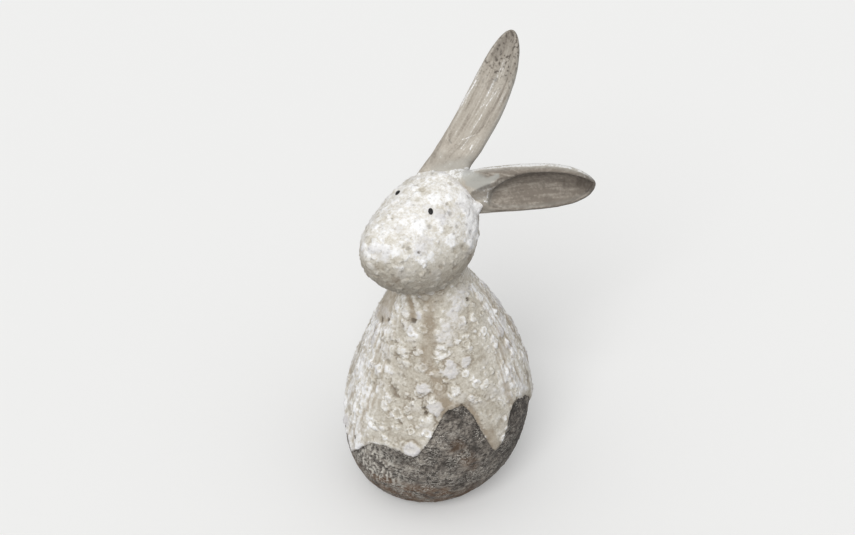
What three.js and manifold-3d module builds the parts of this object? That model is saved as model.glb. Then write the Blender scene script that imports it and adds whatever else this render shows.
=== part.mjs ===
// A rabbit ornament, hand-built from hollow grey stoneware and half covered by a thick white crater glaze.
// It sits on a small foot with its face towards -Y and its left side towards +X, and z = 0 is the table.
// The egg-shaped body narrows to a neck whose spigot stands in a socket under the hollow egg-shaped head.
// Two solid spoon-shaped ears are pegged into the crown, one upright and one hanging out sideways.
// All sizes are in millimetres and all angles in degrees.
import * as THREE from "three";
import { LoftGeometry } from "three/addons/geometries/LoftGeometry.js";
import { mergeVertices, toCreasedNormals } from "three/addons/utils/BufferGeometryUtils.js";
import Module from "manifold-3d";

const wasm = await Module();
wasm.setup();

// Clearance of fitted pieces, and the thickness of the clay and of the glaze crust on it
const GAP = 0.3;
const CLAY_WALL = 5;
const GLAZE = 0.9;

// Felt disc glued into the recess of the foot
const PAD_RADIUS = 18;
const PAD_THICKNESS = 2.2;
const PAD_PROUD = 0.8;
const PAD_EDGE = 0.4;

// Body: how wide the clay is at each height, and how far its centre sits behind the middle of the foot
const FOOT = { height: PAD_PROUD, radius: 23, back: 0 };
const HEEL = { height: 6, radius: 29.4, back: -2.2 };
const LAP = { height: 18, radius: 37, back: 0.8 };
const BELLY = { height: 38, radius: 39, back: 5 };
const RIBS = { height: 60, radius: 33.4, back: 6.6 };
const CHEST = { height: 76, radius: 26.8, back: 6 };
const SHOULDER = { height: 90, radius: 19.9, back: 4.5 };
const NECK = { height: 104, radius: 12.3, back: 2.4 };
const THROAT = { height: 126, radius: 10, back: -2 };
const BODY_STATIONS = [FOOT, HEEL, LAP, BELLY, RIBS, CHEST, SHOULDER, NECK, THROAT];
const VENT_RADIUS = 6;

// Neck joint: the spigot is the neck itself, stepped in, and the seam is a bead of slip in the corner,
// whose back edge lies up and inward from there
const SPIGOT_STEP = 2.7;
const SPIGOT_RISE = 13;
const NECK_BEAD = 7;
const BEAD_BACK_ANGLE = 135;

// Head: an egg that tips forward, wide at the crown and narrow at the muzzle, with both ends bent upward
const HEAD = {
  length: 49.6,
  crownHeight: 38,
  muzzleHeight: 42.2,
  crownWidth: 45.4,
  muzzleWidth: 29.6,
  bend: 9,
  tip: 19,
  forward: 8.9,
  rise: 21.1,
};
const HEAD_WALL = 4.5;

// Eyes: small oval beads on a shank, each with its place along the head and around it, and its lean
const EYE = { width: 1.9, height: 2.8, dome: 0.7, shank: 2.4 };
const RIGHT_EYE = { along: 79.8, around: 118.6, lean: -60 };
const LEFT_EYE = { along: 80.9, around: 66.1, lean: -47 };

// Ears: where each stands on the head, where it points, how it is shaped and how its dish is cut
const RIGHT_EAR = {
  along: 19.9,
  around: 134.6,
  bearing: 83.2,
  elevation: 55,
  length: 62.5,
  width: 17.2,
  depth: 8.5,
  taperStart: 4.87,
  taperRound: 0.59,
  bow: 1.8,
  curl: -2.5,
  roll: 8,
  dishStart: 0.2,
  dishHeel: 0.3,
  dishShift: -0.4,
};
const LEFT_EAR = {
  along: 15.2,
  around: 2,
  bearing: 13.4,
  elevation: 23.3,
  length: 58.1,
  width: 19.9,
  depth: 8.5,
  taperStart: 5.3,
  taperRound: 0.64,
  bow: 0.6,
  curl: -1.4,
  roll: 10,
  dishStart: 0.17,
  dishHeel: 0.42,
  dishShift: 0.4,
};
const EAR_SQUARENESS = 0.85;
const EAR_RIM = 1.4;
const DISH_DEPTH = 6;
const EAR_SINK = 11;
const EAR_PEG_RADIUS = 2.5;
const EAR_PEG_LENGTH = 6;
const EAR_WEB = { reach: 2.2, rise: 5 };

// Glaze: how high its lower edge stands round the belly, where 0 is the front and 90 the rabbit's left
const HEM = [
  { at: -100, height: 40 },
  { at: -62, height: 52 },
  { at: -38, height: 38 },
  { at: -17, height: 24 },
  { at: -4, height: 32.5 },
  { at: 9, height: 38.5 },
  { at: 27, height: 37 },
  { at: 36, height: 42 },
  { at: 46, height: 57 },
  { at: 56, height: 60 },
  { at: 65, height: 54 },
  { at: 74, height: 40 },
  { at: 81, height: 35 },
  { at: 88, height: 45 },
  { at: 97, height: 52 },
  { at: 113, height: 47 },
  { at: 135, height: 30 },
  { at: 160, height: 46 },
  { at: 185, height: 52 },
  { at: 215, height: 33 },
  { at: 240, height: 42 },
];

// Fineness of the facets; an ear's levels crowd towards its tip
const BODY_SIDES = 36;
const BODY_LEVELS = 17;
const HEAD_SIDES = 26;
const HEAD_LEVELS = 14;
const EAR_SIDES = 20;
const EAR_LEVELS = 12;
const EAR_TIP_CROWDING = 1.7;
const DISH_LEVELS = 10;
const BEAD_LEVELS = 3;
const DISC_SIDES = 36;
const PEG_SIDES = 18;
const EYE_SIDES = 18;
const EYE_LEVELS = 4;
const HEM_STEPS = 54;
const CREASE_ANGLE = 40;

// Corners closer than this are one, and a search halves its range this often
const SAME_POINT = 1e-4;
const SEARCH_PASSES = 30;

const rad = THREE.MathUtils.degToRad;
const lerp = THREE.MathUtils.lerp;
const Z_UP = new THREE.Vector3(0, 0, 1);

// A closed geometry as a solid: shared corners are merged and faces that shrink to a line are dropped.
function solidOf(geometry, matrix = new THREE.Matrix4()) {
  const bare = new THREE.BufferGeometry();
  bare.setAttribute("position", geometry.getAttribute("position").clone());
  bare.setIndex(geometry.index);
  bare.applyMatrix4(matrix);
  const merged = mergeVertices(bare, SAME_POINT);
  const corners = merged.index.array;
  const kept = [];
  for (let i = 0; i < corners.length; i += 3) {
    const [a, b, c] = corners.slice(i, i + 3);
    if (a !== b && b !== c && c !== a) kept.push(a, b, c);
  }
  const vertProperties = merged.getAttribute("position").array;
  return new wasm.Manifold(
    new wasm.Mesh({ numProp: 3, vertProperties, triVerts: new Uint32Array(kept) }),
  );
}

// A solid as a named mesh with its own finish; edges sharper than the crease angle stay crisp.
function meshOf(name, solid, finish) {
  const { vertProperties, triVerts } = solid.getMesh();
  const geometry = new THREE.BufferGeometry();
  geometry.setAttribute("position", new THREE.BufferAttribute(vertProperties, 3));
  geometry.setIndex(new THREE.BufferAttribute(triVerts, 1));
  const mesh = new THREE.Mesh(toCreasedNormals(geometry, rad(CREASE_ANGLE)), finish);
  mesh.name = name;
  return mesh;
}

// One turn of points from a function of the angle, and the closed skin through several such turns.
function turnOf(sides, pointAt) {
  return Array.from({ length: sides }, (_, i) => pointAt((i / sides) * 2 * Math.PI));
}

function skin(sections) {
  return solidOf(new LoftGeometry(sections, { capStart: true, capEnd: true }));
}

// Body: a loft through level circles; a positive offset grows it and a negative one hollows it.
const bodyLine = new THREE.CatmullRomCurve3(
  BODY_STATIONS.map(({ height, radius, back }) => new THREE.Vector3(radius, back, height)),
);

function bodyPoint(share, turn, offset) {
  const at = bodyLine.getPointAt(share);
  const way = bodyLine.getTangentAt(share);
  const slope = Math.hypot(way.x, way.z);
  const radius = at.x + (offset * way.z) / slope;
  const height = at.z - (offset * way.x) / slope;
  return new THREE.Vector3(radius * Math.sin(turn), at.y - radius * Math.cos(turn), height);
}

function bodyForm(offset, floor = -Infinity) {
  const sections = [];
  for (let k = 0; k <= BODY_LEVELS; k++) {
    const ring = turnOf(BODY_SIDES, (turn) => bodyPoint(k / BODY_LEVELS, turn, offset));
    sections.push(ring.map((point) => point.setZ(Math.max(point.z, floor))));
  }
  return skin(sections);
}

// Head: oval sections strung along a tipped axis from the crown, at 0 degrees, to the muzzle, at 180.
const headMiddle = new THREE.Vector3(0, NECK.back - HEAD.forward, NECK.height + HEAD.rise);
const headAlong = new THREE.Vector3(0, -Math.cos(rad(HEAD.tip)), -Math.sin(rad(HEAD.tip)));
const headUp = new THREE.Vector3(0, -Math.sin(rad(HEAD.tip)), Math.cos(rad(HEAD.tip)));

function headGirth(reach, offset) {
  const share = (1 + reach) / 2;
  return {
    halfWidth: lerp(HEAD.crownWidth, HEAD.muzzleWidth, share) / 2 + offset,
    halfHeight: lerp(HEAD.crownHeight, HEAD.muzzleHeight, share) / 2 + offset,
  };
}

function headPoint(along, around, offset) {
  const reach = -Math.cos(along);
  const { halfWidth, halfHeight } = headGirth(reach, offset);
  return headMiddle
    .clone()
    .addScaledVector(headAlong, reach * (HEAD.length / 2 + offset))
    .addScaledVector(headUp, HEAD.bend * reach ** 2 + halfHeight * Math.sin(along) * Math.sin(around))
    .add(new THREE.Vector3(halfWidth * Math.sin(along) * Math.cos(around), 0, 0));
}

function insideHead(point, offset) {
  const from = point.clone().sub(headMiddle);
  const reach = from.dot(headAlong) / (HEAD.length / 2 + offset);
  const { halfWidth, halfHeight } = headGirth(reach, offset);
  const up = from.dot(headUp) - HEAD.bend * reach ** 2;
  return reach ** 2 + (from.x / halfWidth) ** 2 + (up / halfHeight) ** 2 < 1;
}

function headNormal(along, around, offset) {
  const step = 0.01;
  const at = headPoint(along, around, offset);
  const forward = headPoint(along + step, around, offset).sub(at);
  const sideways = headPoint(along, around + step, offset).sub(at);
  return sideways.cross(forward).normalize();
}

function headForm(offset) {
  const sections = [];
  for (let k = 0; k <= HEAD_LEVELS; k++) {
    const along = (k / HEAD_LEVELS) * Math.PI;
    sections.push(turnOf(HEAD_SIDES, (around) => headPoint(along, around, offset)));
  }
  return solidOf(new LoftGeometry(sections));
}

// Ear: its root on the head, its axis, its broad way and the way its dish faces.
function earFrame(ear) {
  const root = headPoint(rad(ear.along), rad(ear.around), 0);
  const axis = new THREE.Vector3(
    Math.cos(rad(ear.elevation)) * Math.cos(rad(ear.bearing)),
    Math.cos(rad(ear.elevation)) * Math.sin(rad(ear.bearing)),
    Math.sin(rad(ear.elevation)),
  );
  const ahead = new THREE.Vector3(0, -1, 0);
  const facing = ahead.addScaledVector(axis, -ahead.dot(axis)).normalize();
  facing.applyAxisAngle(axis, rad(ear.roll));
  const across = new THREE.Vector3().crossVectors(axis, facing);
  return { root, axis, facing, across };
}

// A point on an ear's middle line, which arches sideways and forward; below the root it runs on straight.
function earLine(ear, frame, share) {
  const arch = share > 0 ? 4 * share * (1 - share) : 4 * share;
  return frame.root
    .clone()
    .addScaledVector(frame.axis, ear.length * share)
    .addScaledVector(frame.across, ear.bow * arch)
    .addScaledVector(frame.facing, ear.curl * arch);
}

const earFullness = (ear, share) => (1 - Math.max(share, 0) ** ear.taperStart) ** ear.taperRound;

const softened = (value) => Math.sign(value) * Math.abs(value) ** EAR_SQUARENESS;

function earForm(ear, offset) {
  const frame = earFrame(ear);
  const sunk = EAR_SINK / ear.length;
  const sections = [];
  for (let k = 0; k <= EAR_LEVELS; k++) {
    const share = 1 - (1 + sunk) * (1 - k / EAR_LEVELS) ** EAR_TIP_CROWDING;
    const middle = earLine(ear, frame, share).addScaledVector(frame.axis, offset * Math.max(share, 0));
    const fullness = earFullness(ear, share);
    const halfWidth = (ear.width / 2 + offset) * fullness;
    const halfDepth = (ear.depth / 2 + offset) * fullness;
    sections.push(
      turnOf(EAR_SIDES, (turn) =>
        middle
          .clone()
          .addScaledVector(frame.across, halfWidth * softened(Math.sin(turn)))
          .addScaledVector(frame.facing, halfDepth * softened(Math.cos(turn))),
      ),
    );
  }
  return solidOf(new LoftGeometry(sections, { capStart: true }));
}

// The dish is scooped out of the front of the ear up to a thin rim; near the head it is narrower and
// keeps to one side.
function dishForm(ear) {
  const frame = earFrame(ear);
  const rimShare = (2 * EAR_RIM) / ear.width;
  const end = (1 - rimShare ** (1 / ear.taperRound)) ** (1 / ear.taperStart);
  const widest = ear.width / 2 - EAR_RIM;
  const sections = [];
  for (let k = 0; k <= DISH_LEVELS; k++) {
    const share = lerp(ear.dishStart, end, (1 - Math.cos((k / DISH_LEVELS) * Math.PI)) / 2);
    const heel = Math.min((share - ear.dishStart) / ear.dishHeel, 1);
    const fullness = earFullness(ear, share);
    const inside = Math.max((ear.width / 2) * fullness - EAR_RIM, 0);
    const halfWidth = inside * Math.sqrt(1 - (1 - heel) ** 2);
    const scoop = DISH_DEPTH * Math.min(fullness, Math.sqrt(halfWidth / widest));
    const middle = earLine(ear, frame, share)
      .addScaledVector(frame.across, ear.dishShift * (inside - halfWidth))
      .addScaledVector(frame.facing, (ear.depth / 2) * fullness);
    sections.push(
      turnOf(EAR_SIDES, (turn) =>
        middle
          .clone()
          .addScaledVector(frame.across, halfWidth * Math.sin(turn))
          .addScaledVector(frame.facing, scoop * Math.cos(turn)),
      ),
    );
  }
  return solidOf(new LoftGeometry(sections));
}

// A round peg from outside to inside the wall, along a given way, grown by an offset.
function pegForm(base, way, length, radius, offset) {
  const peg = new THREE.CylinderGeometry(radius + offset, radius + offset, length, PEG_SIDES);
  peg.rotateX(Math.PI / 2);
  const place = new THREE.Matrix4().compose(
    base.clone().addScaledVector(way, length / 2),
    new THREE.Quaternion().setFromUnitVectors(Z_UP, way),
    new THREE.Vector3(1, 1, 1),
  );
  return solidOf(peg, place);
}

function earPeg(ear, offset) {
  const { root, axis } = earFrame(ear);
  const base = root.clone().addScaledVector(axis, EAR_PEG_RADIUS);
  const inward = axis.clone().negate();
  return pegForm(base, inward, EAR_PEG_RADIUS + EAR_PEG_LENGTH + offset, EAR_PEG_RADIUS, offset);
}

const rightEarForm = (offset) => earForm(RIGHT_EAR, offset);
const leftEarForm = (offset) => earForm(LEFT_EAR, offset);

// The value between two bounds at which a test turns from false to true.
function turningPoint(low, high, test) {
  for (let pass = 0; pass < SEARCH_PASSES; pass++) {
    const middle = (low + high) / 2;
    if (test(middle)) high = middle;
    else low = middle;
  }
  return high;
}

// Neck bead: a hollow curve all round from the neck to the underside of the head, filled behind.
// Its two ends are sunk a little below the surfaces that they run out on.
function neckBead(offset) {
  const sunk = offset - GAP;
  const step = NECK_BEAD / bodyLine.getLength();
  const turns = turnOf(BODY_SIDES, (turn) => {
    const share = turningPoint(0, 1, (at) => insideHead(bodyPoint(at, turn, sunk), sunk));
    const corner = bodyPoint(share, turn, sunk);
    const outward = new THREE.Vector3(Math.sin(turn), -Math.cos(turn), 0);
    const swing = (angle, reach) =>
      new THREE.Vector3()
        .addScaledVector(outward, reach * Math.cos(angle))
        .addScaledVector(Z_UP, reach * Math.sin(angle));
    const level = turningPoint(-Math.PI / 2, Math.PI / 2, (angle) =>
      insideHead(swing(angle, NECK_BEAD).add(corner), sunk),
    );
    const down = bodyPoint(share - step, turn, sunk).sub(corner);
    const behind = swing(rad(BEAD_BACK_ANGLE), NECK_BEAD / 2);
    return { corner, down, out: swing(level, NECK_BEAD), behind };
  });
  const sections = [turns.map(({ corner, behind }) => corner.clone().add(behind))];
  for (let k = 0; k <= BEAD_LEVELS; k++) {
    const share = k / BEAD_LEVELS;
    sections.push(
      turns.map(({ corner, down, out }) =>
        corner.clone().addScaledVector(down, (1 - share) ** 2).addScaledVector(out, share ** 2),
      ),
    );
  }
  sections.push(sections[0]);
  return solidOf(new LoftGeometry(sections));
}

// Hem height at an angle, easing from each mark to the next.
function hemHeight(angle) {
  const first = HEM[0].at;
  const turned = first + THREE.MathUtils.euclideanModulo(angle - first, 360);
  const marks = [...HEM, { at: first + 360, height: HEM[0].height }];
  const next = marks.findIndex(({ at }) => at > turned);
  const [from, to] = [marks[next - 1], marks[next]];
  const ease = (1 - Math.cos((Math.PI * (turned - from.at)) / (to.at - from.at))) / 2;
  return lerp(from.height, to.height, ease);
}

// Everything below the hem, as a block with a wavy top that is level along each radius.
function belowHem() {
  const at = (radius, turn, height) =>
    new THREE.Vector3(radius * Math.sin(turn), BELLY.back - radius * Math.cos(turn), height);
  const hem = (turn) => hemHeight(THREE.MathUtils.radToDeg(turn));
  const far = 1.5 * BELLY.radius;
  const tops = [far, BELLY.radius, RIBS.radius, BELLY.radius / 2];
  const sections = [
    turnOf(HEM_STEPS, (turn) => at(0, turn, -far)),
    turnOf(HEM_STEPS, (turn) => at(far, turn, -far)),
    ...tops.map((radius) => turnOf(HEM_STEPS, (turn) => at(radius, turn, hem(turn)))),
    turnOf(HEM_STEPS, (turn) => at(0, turn, BELLY.height)),
  ];
  return solidOf(new LoftGeometry(sections));
}

// A round plug between two levels.
function plugForm(radius, bottom, top) {
  const plug = new THREE.CylinderGeometry(radius, radius, top - bottom, DISC_SIDES);
  plug.rotateX(Math.PI / 2);
  plug.translate(0, 0, (top + bottom) / 2);
  return solidOf(plug);
}

// Eye: a domed bead that stands a little proud of the glaze on a shank of the same oval.
function eyeGeometry(offset) {
  const radius = 1 + (2 * offset) / EYE.width;
  const dome = Array.from({ length: EYE_LEVELS + 1 }, (_, k) => {
    const turn = (k / EYE_LEVELS) * (Math.PI / 2);
    return new THREE.Vector2(radius * Math.cos(turn), (EYE.dome + offset) * Math.sin(turn));
  });
  const depth = EYE.shank + offset;
  const profile = [new THREE.Vector2(0, -depth), new THREE.Vector2(radius, -depth), ...dome];
  const bead = new THREE.LatheGeometry(profile, EYE_SIDES);
  bead.rotateX(Math.PI / 2);
  bead.scale(EYE.width / 2, EYE.height / 2, 1);
  return bead;
}

// An eye is set square on the glaze and then turned about its own middle.
function placeEye(bead, { along, around, lean }) {
  const surface = GAP + GLAZE;
  const normal = headNormal(rad(along), rad(around), surface);
  const across = new THREE.Vector3().crossVectors(headUp, normal).normalize();
  across.applyAxisAngle(normal, rad(lean));
  const upright = new THREE.Vector3().crossVectors(normal, across);
  bead.quaternion.setFromRotationMatrix(new THREE.Matrix4().makeBasis(across, upright, normal));
  bead.position.copy(headPoint(rad(along), rad(around), surface));
  bead.updateMatrix();
  return bead;
}

function clay(color) {
  return new THREE.MeshStandardMaterial({ color, roughness: 0.92, metalness: 0 });
}

// Foot: the felt disc and the recess and vent that it covers
const padProfile = [
  new THREE.Vector2(0, 0),
  new THREE.Vector2(PAD_RADIUS - PAD_EDGE, 0),
  new THREE.Vector2(PAD_RADIUS, PAD_EDGE),
  new THREE.Vector2(PAD_RADIUS, PAD_THICKNESS),
  new THREE.Vector2(0, PAD_THICKNESS),
];
const basePad = new THREE.Mesh(
  new THREE.LatheGeometry(padProfile, DISC_SIDES).rotateX(Math.PI / 2),
  new THREE.MeshStandardMaterial({ color: 0x4a4742, roughness: 0.98, metalness: 0 }),
);
basePad.name = "base_pad";
const recess = plugForm(PAD_RADIUS + GAP, -BELLY.height, PAD_THICKNESS + GAP);

// Body shell: hollow, vented through the foot, its neck cut to the underside of the head
const innerFloor = FOOT.height + CLAY_WALL;
const vent = plugForm(VENT_RADIUS, -BELLY.height, innerFloor + CLAY_WALL);
const spigotTop = NECK.height + SPIGOT_RISE;
const spigot = bodyForm(-SPIGOT_STEP).intersect(plugForm(BELLY.radius, SHOULDER.height, spigotTop));
const bodyShell = bodyForm(0)
  .subtract(headForm(GAP))
  .add(spigot)
  .subtract(bodyForm(-CLAY_WALL, innerFloor))
  .subtract(recess)
  .subtract(vent);

// Seam bead in the corner between the neck and the head
const neckSeam = neckBead(0).subtract(headForm(GAP)).subtract(bodyForm(GAP));

// Eyes on both sides, and the pockets they sit in
const eyes = [
  ["right_eye", RIGHT_EYE],
  ["left_eye", LEFT_EYE],
].map(([name, place]) => {
  const black = new THREE.MeshStandardMaterial({ color: 0x14120f, roughness: 0.35, metalness: 0 });
  const bead = new THREE.Mesh(eyeGeometry(0), black);
  bead.name = name;
  return placeEye(bead, place);
});
const eyePockets = eyes
  .map((eye) => solidOf(eyeGeometry(GAP), eye.matrix))
  .reduce((all, pocket) => all.add(pocket));

// Head shell: hollow, open below for the spigot, with a socket for each ear peg and a pocket for each eye
const headShell = headForm(0)
  .subtract(headForm(-HEAD_WALL))
  .subtract(bodyForm(GAP - SPIGOT_STEP))
  .subtract(earPeg(RIGHT_EAR, GAP))
  .subtract(earPeg(LEFT_EAR, GAP))
  .subtract(eyePockets);

// Ears: each follows the head, is dished in front and pegged behind; the left one butts against the right
const rightEar = rightEarForm(0)
  .subtract(dishForm(RIGHT_EAR))
  .subtract(headForm(GAP))
  .add(earPeg(RIGHT_EAR, 0));
const leftEar = leftEarForm(0)
  .subtract(dishForm(LEFT_EAR))
  .subtract(headForm(GAP))
  .subtract(rightEarForm(GAP))
  .add(earPeg(LEFT_EAR, 0));

// Webs of slip in the notches between the ears, in front of them and behind, up to a rise on the crown
const earWebs = (offset) =>
  rightEarForm(EAR_WEB.reach + offset)
    .intersect(leftEarForm(EAR_WEB.reach + offset))
    .intersect(headForm(EAR_WEB.rise + offset));
const bareWebs = earWebs(0)
  .subtract(headForm(GAP))
  .subtract(rightEarForm(GAP))
  .subtract(leftEarForm(GAP));

function sideOfRightEar(side) {
  const { root, axis, facing } = earFrame(RIGHT_EAR);
  const block = new THREE.BoxGeometry(HEAD.length, HEAD.length, HEAD.length);
  block.translate(0, (side * (HEAD.length + GAP)) / 2, 0);
  const sideways = new THREE.Vector3().crossVectors(facing, axis);
  const place = new THREE.Matrix4().makeBasis(sideways, facing, axis).setPosition(root);
  return solidOf(block, place);
}

const frontWeb = bareWebs.intersect(sideOfRightEar(1));
const backWeb = bareWebs.intersect(sideOfRightEar(-1));

// Glaze: one skin over body, neck and head, from its wavy hem up to the ears and the web
const glazedForm = (offset) => bodyForm(offset).add(headForm(offset)).add(neckBead(offset));
const glazeCoat = glazedForm(GAP + GLAZE)
  .subtract(glazedForm(GAP))
  .subtract(belowHem())
  .subtract(rightEarForm(GAP))
  .subtract(leftEarForm(GAP))
  .subtract(earWebs(GAP))
  .subtract(eyePockets);

const body = new THREE.Group();
body.add(
  basePad,
  meshOf("body_shell", bodyShell, clay(0x6e665b)),
  meshOf("neck_seam", neckSeam, clay(0x8b8378)),
);
const head = new THREE.Group();
head.add(
  meshOf("head_shell", headShell, clay(0x8d867b)),
  meshOf("front_web", frontWeb, clay(0x96938c)),
  meshOf("back_web", backWeb, clay(0x96938c)),
  meshOf("right_ear", rightEar, clay(0x8f8578)),
  meshOf("left_ear", leftEar, clay(0x86807a)),
  ...eyes,
);
const coat = new THREE.MeshStandardMaterial({ color: 0xd8d0c3, roughness: 0.85, metalness: 0 });
const rabbit = new THREE.Group();
rabbit.add(body, head, meshOf("glaze_coat", glazeCoat, coat));

export default rabbit;
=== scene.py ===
# A hollow stoneware rabbit ornament with a thick crater glaze, seen on a pale table.
# It faces -Y, its left side is towards +X, and z = 0 is the table. Sizes are written in millimetres.
import math
import random

import bmesh
import bpy
import numpy as np
from mathutils import Matrix, Vector, bvhtree, kdtree, noise


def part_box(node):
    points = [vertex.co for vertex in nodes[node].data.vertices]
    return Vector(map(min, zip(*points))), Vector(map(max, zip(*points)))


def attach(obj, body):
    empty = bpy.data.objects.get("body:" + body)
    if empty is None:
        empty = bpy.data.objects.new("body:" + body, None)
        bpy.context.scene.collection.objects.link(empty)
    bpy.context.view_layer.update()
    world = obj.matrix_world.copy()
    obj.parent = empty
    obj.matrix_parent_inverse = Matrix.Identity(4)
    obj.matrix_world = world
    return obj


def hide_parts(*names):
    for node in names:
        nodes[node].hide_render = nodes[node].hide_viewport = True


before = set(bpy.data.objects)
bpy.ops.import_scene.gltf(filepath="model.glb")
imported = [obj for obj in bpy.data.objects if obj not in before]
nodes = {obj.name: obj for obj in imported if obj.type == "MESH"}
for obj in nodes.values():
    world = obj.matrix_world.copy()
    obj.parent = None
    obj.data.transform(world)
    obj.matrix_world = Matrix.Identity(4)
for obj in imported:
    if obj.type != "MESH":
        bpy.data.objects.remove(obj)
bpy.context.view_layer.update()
scene = bpy.context.scene
scene.view_settings.view_transform = "Standard"

MM = 0.001


# Camera: it looks down at the rabbit's left cheek from an arm's length away, with a short telephoto lens.
# Its place, look and lens are those that the picture was taken with, as near as they can be worked out.
CAMERA_PLACE = (309.0, -329.8, 461.5)
CAMERA_LOOK = (-0.5404, 0.5735, -0.6157)
CAMERA_LENS = 60.63
CAMERA_SENSOR = 36
PICTURE_WIDE = 855
PICTURE_HIGH = 535
SIGHT_REACHES = range(450, 700, 5)

camera_data = bpy.data.cameras.new("camera")
camera_data.lens = CAMERA_LENS
camera_data.sensor_width = CAMERA_SENSOR
camera = bpy.data.objects.new("camera", camera_data)
camera.location = Vector(CAMERA_PLACE) * MM
camera.rotation_euler = Vector(CAMERA_LOOK).to_track_quat("-Z", "Y").to_euler()
scene.collection.objects.link(camera)
scene.camera = camera

camera_look = np.array(Vector(CAMERA_LOOK).normalized())
camera_right = np.array(Vector(CAMERA_LOOK).cross((0, 0, 1)).normalized())
camera_top = np.cross(camera_right, camera_look)
picture_zoom = CAMERA_LENS / CAMERA_SENSOR * PICTURE_WIDE


def in_picture(points):
    """Where points lie in the picture, in pixels from its upper left corner."""
    away = points - np.array(CAMERA_PLACE)
    depth = away @ camera_look
    x = PICTURE_WIDE / 2 + picture_zoom * (away @ camera_right) / depth
    y = PICTURE_HIGH / 2 - picture_zoom * (away @ camera_top) / depth
    return x, y


def spot_seen(surface, x, y):
    """The spot of a surface, in millimetres, that shows at a pixel of the picture or nearest to it."""
    across = camera_right * (x - PICTURE_WIDE / 2) / picture_zoom
    down = camera_top * (y - PICTURE_HIGH / 2) / picture_zoom
    way = Vector(camera_look + across - down).normalized()
    eye = Vector(CAMERA_PLACE) * MM
    spot = surface.ray_cast(eye, way)[0]
    if spot is None:
        beside = [surface.find_nearest(eye + way * reach * MM) for reach in SIGHT_REACHES]
        spot = min(beside, key=lambda found: found[3])[0]
    return spot / MM


# Table: a plain matt top, near white to the eye, which sends only a little light back up at the rabbit.
# It is ten metres wide, so that a view from low down still ends on it.
TABLE_SIZE = 10000
TABLE_WHITE = "#E9E9E8"
TABLE_BOUNCE = "#8C8C8E"
TABLE_LIFT = 0.06


def shade(code):
    """A colour written as sRGB hex, as the linear colour that a shader takes."""
    parts = [int(code[i : i + 2], 16) / 255 for i in (1, 3, 5)]
    return (*[p / 12.92 if p <= 0.04045 else ((p + 0.055) / 1.055) ** 2.4 for p in parts], 1)


def material(name):
    """A new empty node material, and its tree."""
    made = bpy.data.materials.new(name)
    made.use_nodes = True
    made.node_tree.nodes.clear()
    return made, made.node_tree


def add(tree, kind, inputs=None, stops=None, **settings):
    """Adds a node with its settings; an input is a value, or the node or socket that feeds it."""
    made = tree.nodes.new("ShaderNode" + kind)
    for name, value in settings.items():
        setattr(made, name, value)
    for place, colour in stops or []:
        made.color_ramp.elements.new(place).color = shade(colour)
    if stops:
        made.color_ramp.elements.remove(made.color_ramp.elements[0])
        made.color_ramp.elements.remove(made.color_ramp.elements[-1])
    for socket, value in (inputs or {}).items():
        if isinstance(value, bpy.types.Node):
            value = value.outputs[0]
        if isinstance(value, bpy.types.NodeSocket):
            tree.links.new(value, made.inputs[socket])
        else:
            made.inputs[socket].default_value = value
    return made


def dress(mesh, finish):
    """Gives a mesh its one material."""
    mesh.materials.clear()
    mesh.materials.append(finish)


def piece_of(name, mesh, finish=None):
    """A mesh as an object at the origin, in its material."""
    made = bpy.data.objects.new(name, mesh)
    scene.collection.objects.link(made)
    if finish:
        dress(mesh, finish)
    return made


# Matt laminate, rolled on flat: no shine, and to the eye as bright as the picture's own ground
top_paint, tree = material("matt_table_top")
path = add(tree, "LightPath")
looked_at = add(
    tree, "Math", {0: path.outputs["Is Camera Ray"], 1: path.outputs["Is Glossy Ray"]}, operation="MAXIMUM",
)
tone = add(tree, "Mix", {0: looked_at, 6: shade(TABLE_BOUNCE), 7: shade(TABLE_WHITE)}, data_type="RGBA")
matt = add(tree, "BsdfDiffuse", {"Color": tone.outputs[2]})
lift = add(tree, "Math", {0: looked_at, 1: TABLE_LIFT}, operation="MULTIPLY")
glow = add(tree, "Emission", {"Strength": lift})
both = add(tree, "AddShader", {0: matt, 1: glow})
add(tree, "OutputMaterial", {"Surface": both})

bm = bmesh.new()
bmesh.ops.create_grid(bm, x_segments=1, y_segments=1, size=TABLE_SIZE * MM / 2)
table_mesh = bpy.data.meshes.new("table_top")
bm.to_mesh(table_mesh)
bm.free()
table = piece_of("table_top", table_mesh, top_paint)


# Light: broad soft daylight from the rabbit's left front, in a pale evenly lit room.
# It falls on the whole table alike, so that no view of it is burnt out.
ROOM_LIGHT = 0.64
DAYLIGHT_FROM = (430, -840, 900)
DAYLIGHT_SPREAD = 37
DAYLIGHT_STRENGTH = 1.6

world = bpy.data.worlds.new("pale_room")
world.use_nodes = True
world.node_tree.nodes.clear()
air = add(world.node_tree, "Background", {"Color": (1, 1, 1, 1), "Strength": ROOM_LIGHT})
add(world.node_tree, "OutputWorld", {"Surface": air})
scene.world = world

daylight_data = bpy.data.lights.new("soft_daylight", "SUN")
daylight_data.energy = DAYLIGHT_STRENGTH
daylight_data.angle = math.radians(DAYLIGHT_SPREAD)
daylight = bpy.data.objects.new("soft_daylight", daylight_data)
daylight.rotation_euler = Vector(DAYLIGHT_FROM).to_track_quat("Z", "Y").to_euler()
scene.collection.objects.link(daylight)


# Felt pad: a disc die-cut from dark grey wool felt and glued into the recess of the foot.
# It stands a little proud of the clay, so that the rabbit doesn't scratch the table.
FELT_DARK = "#3B3935"
FELT_PALE = "#57534D"
FELT_FIBRE = 0.6

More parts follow.
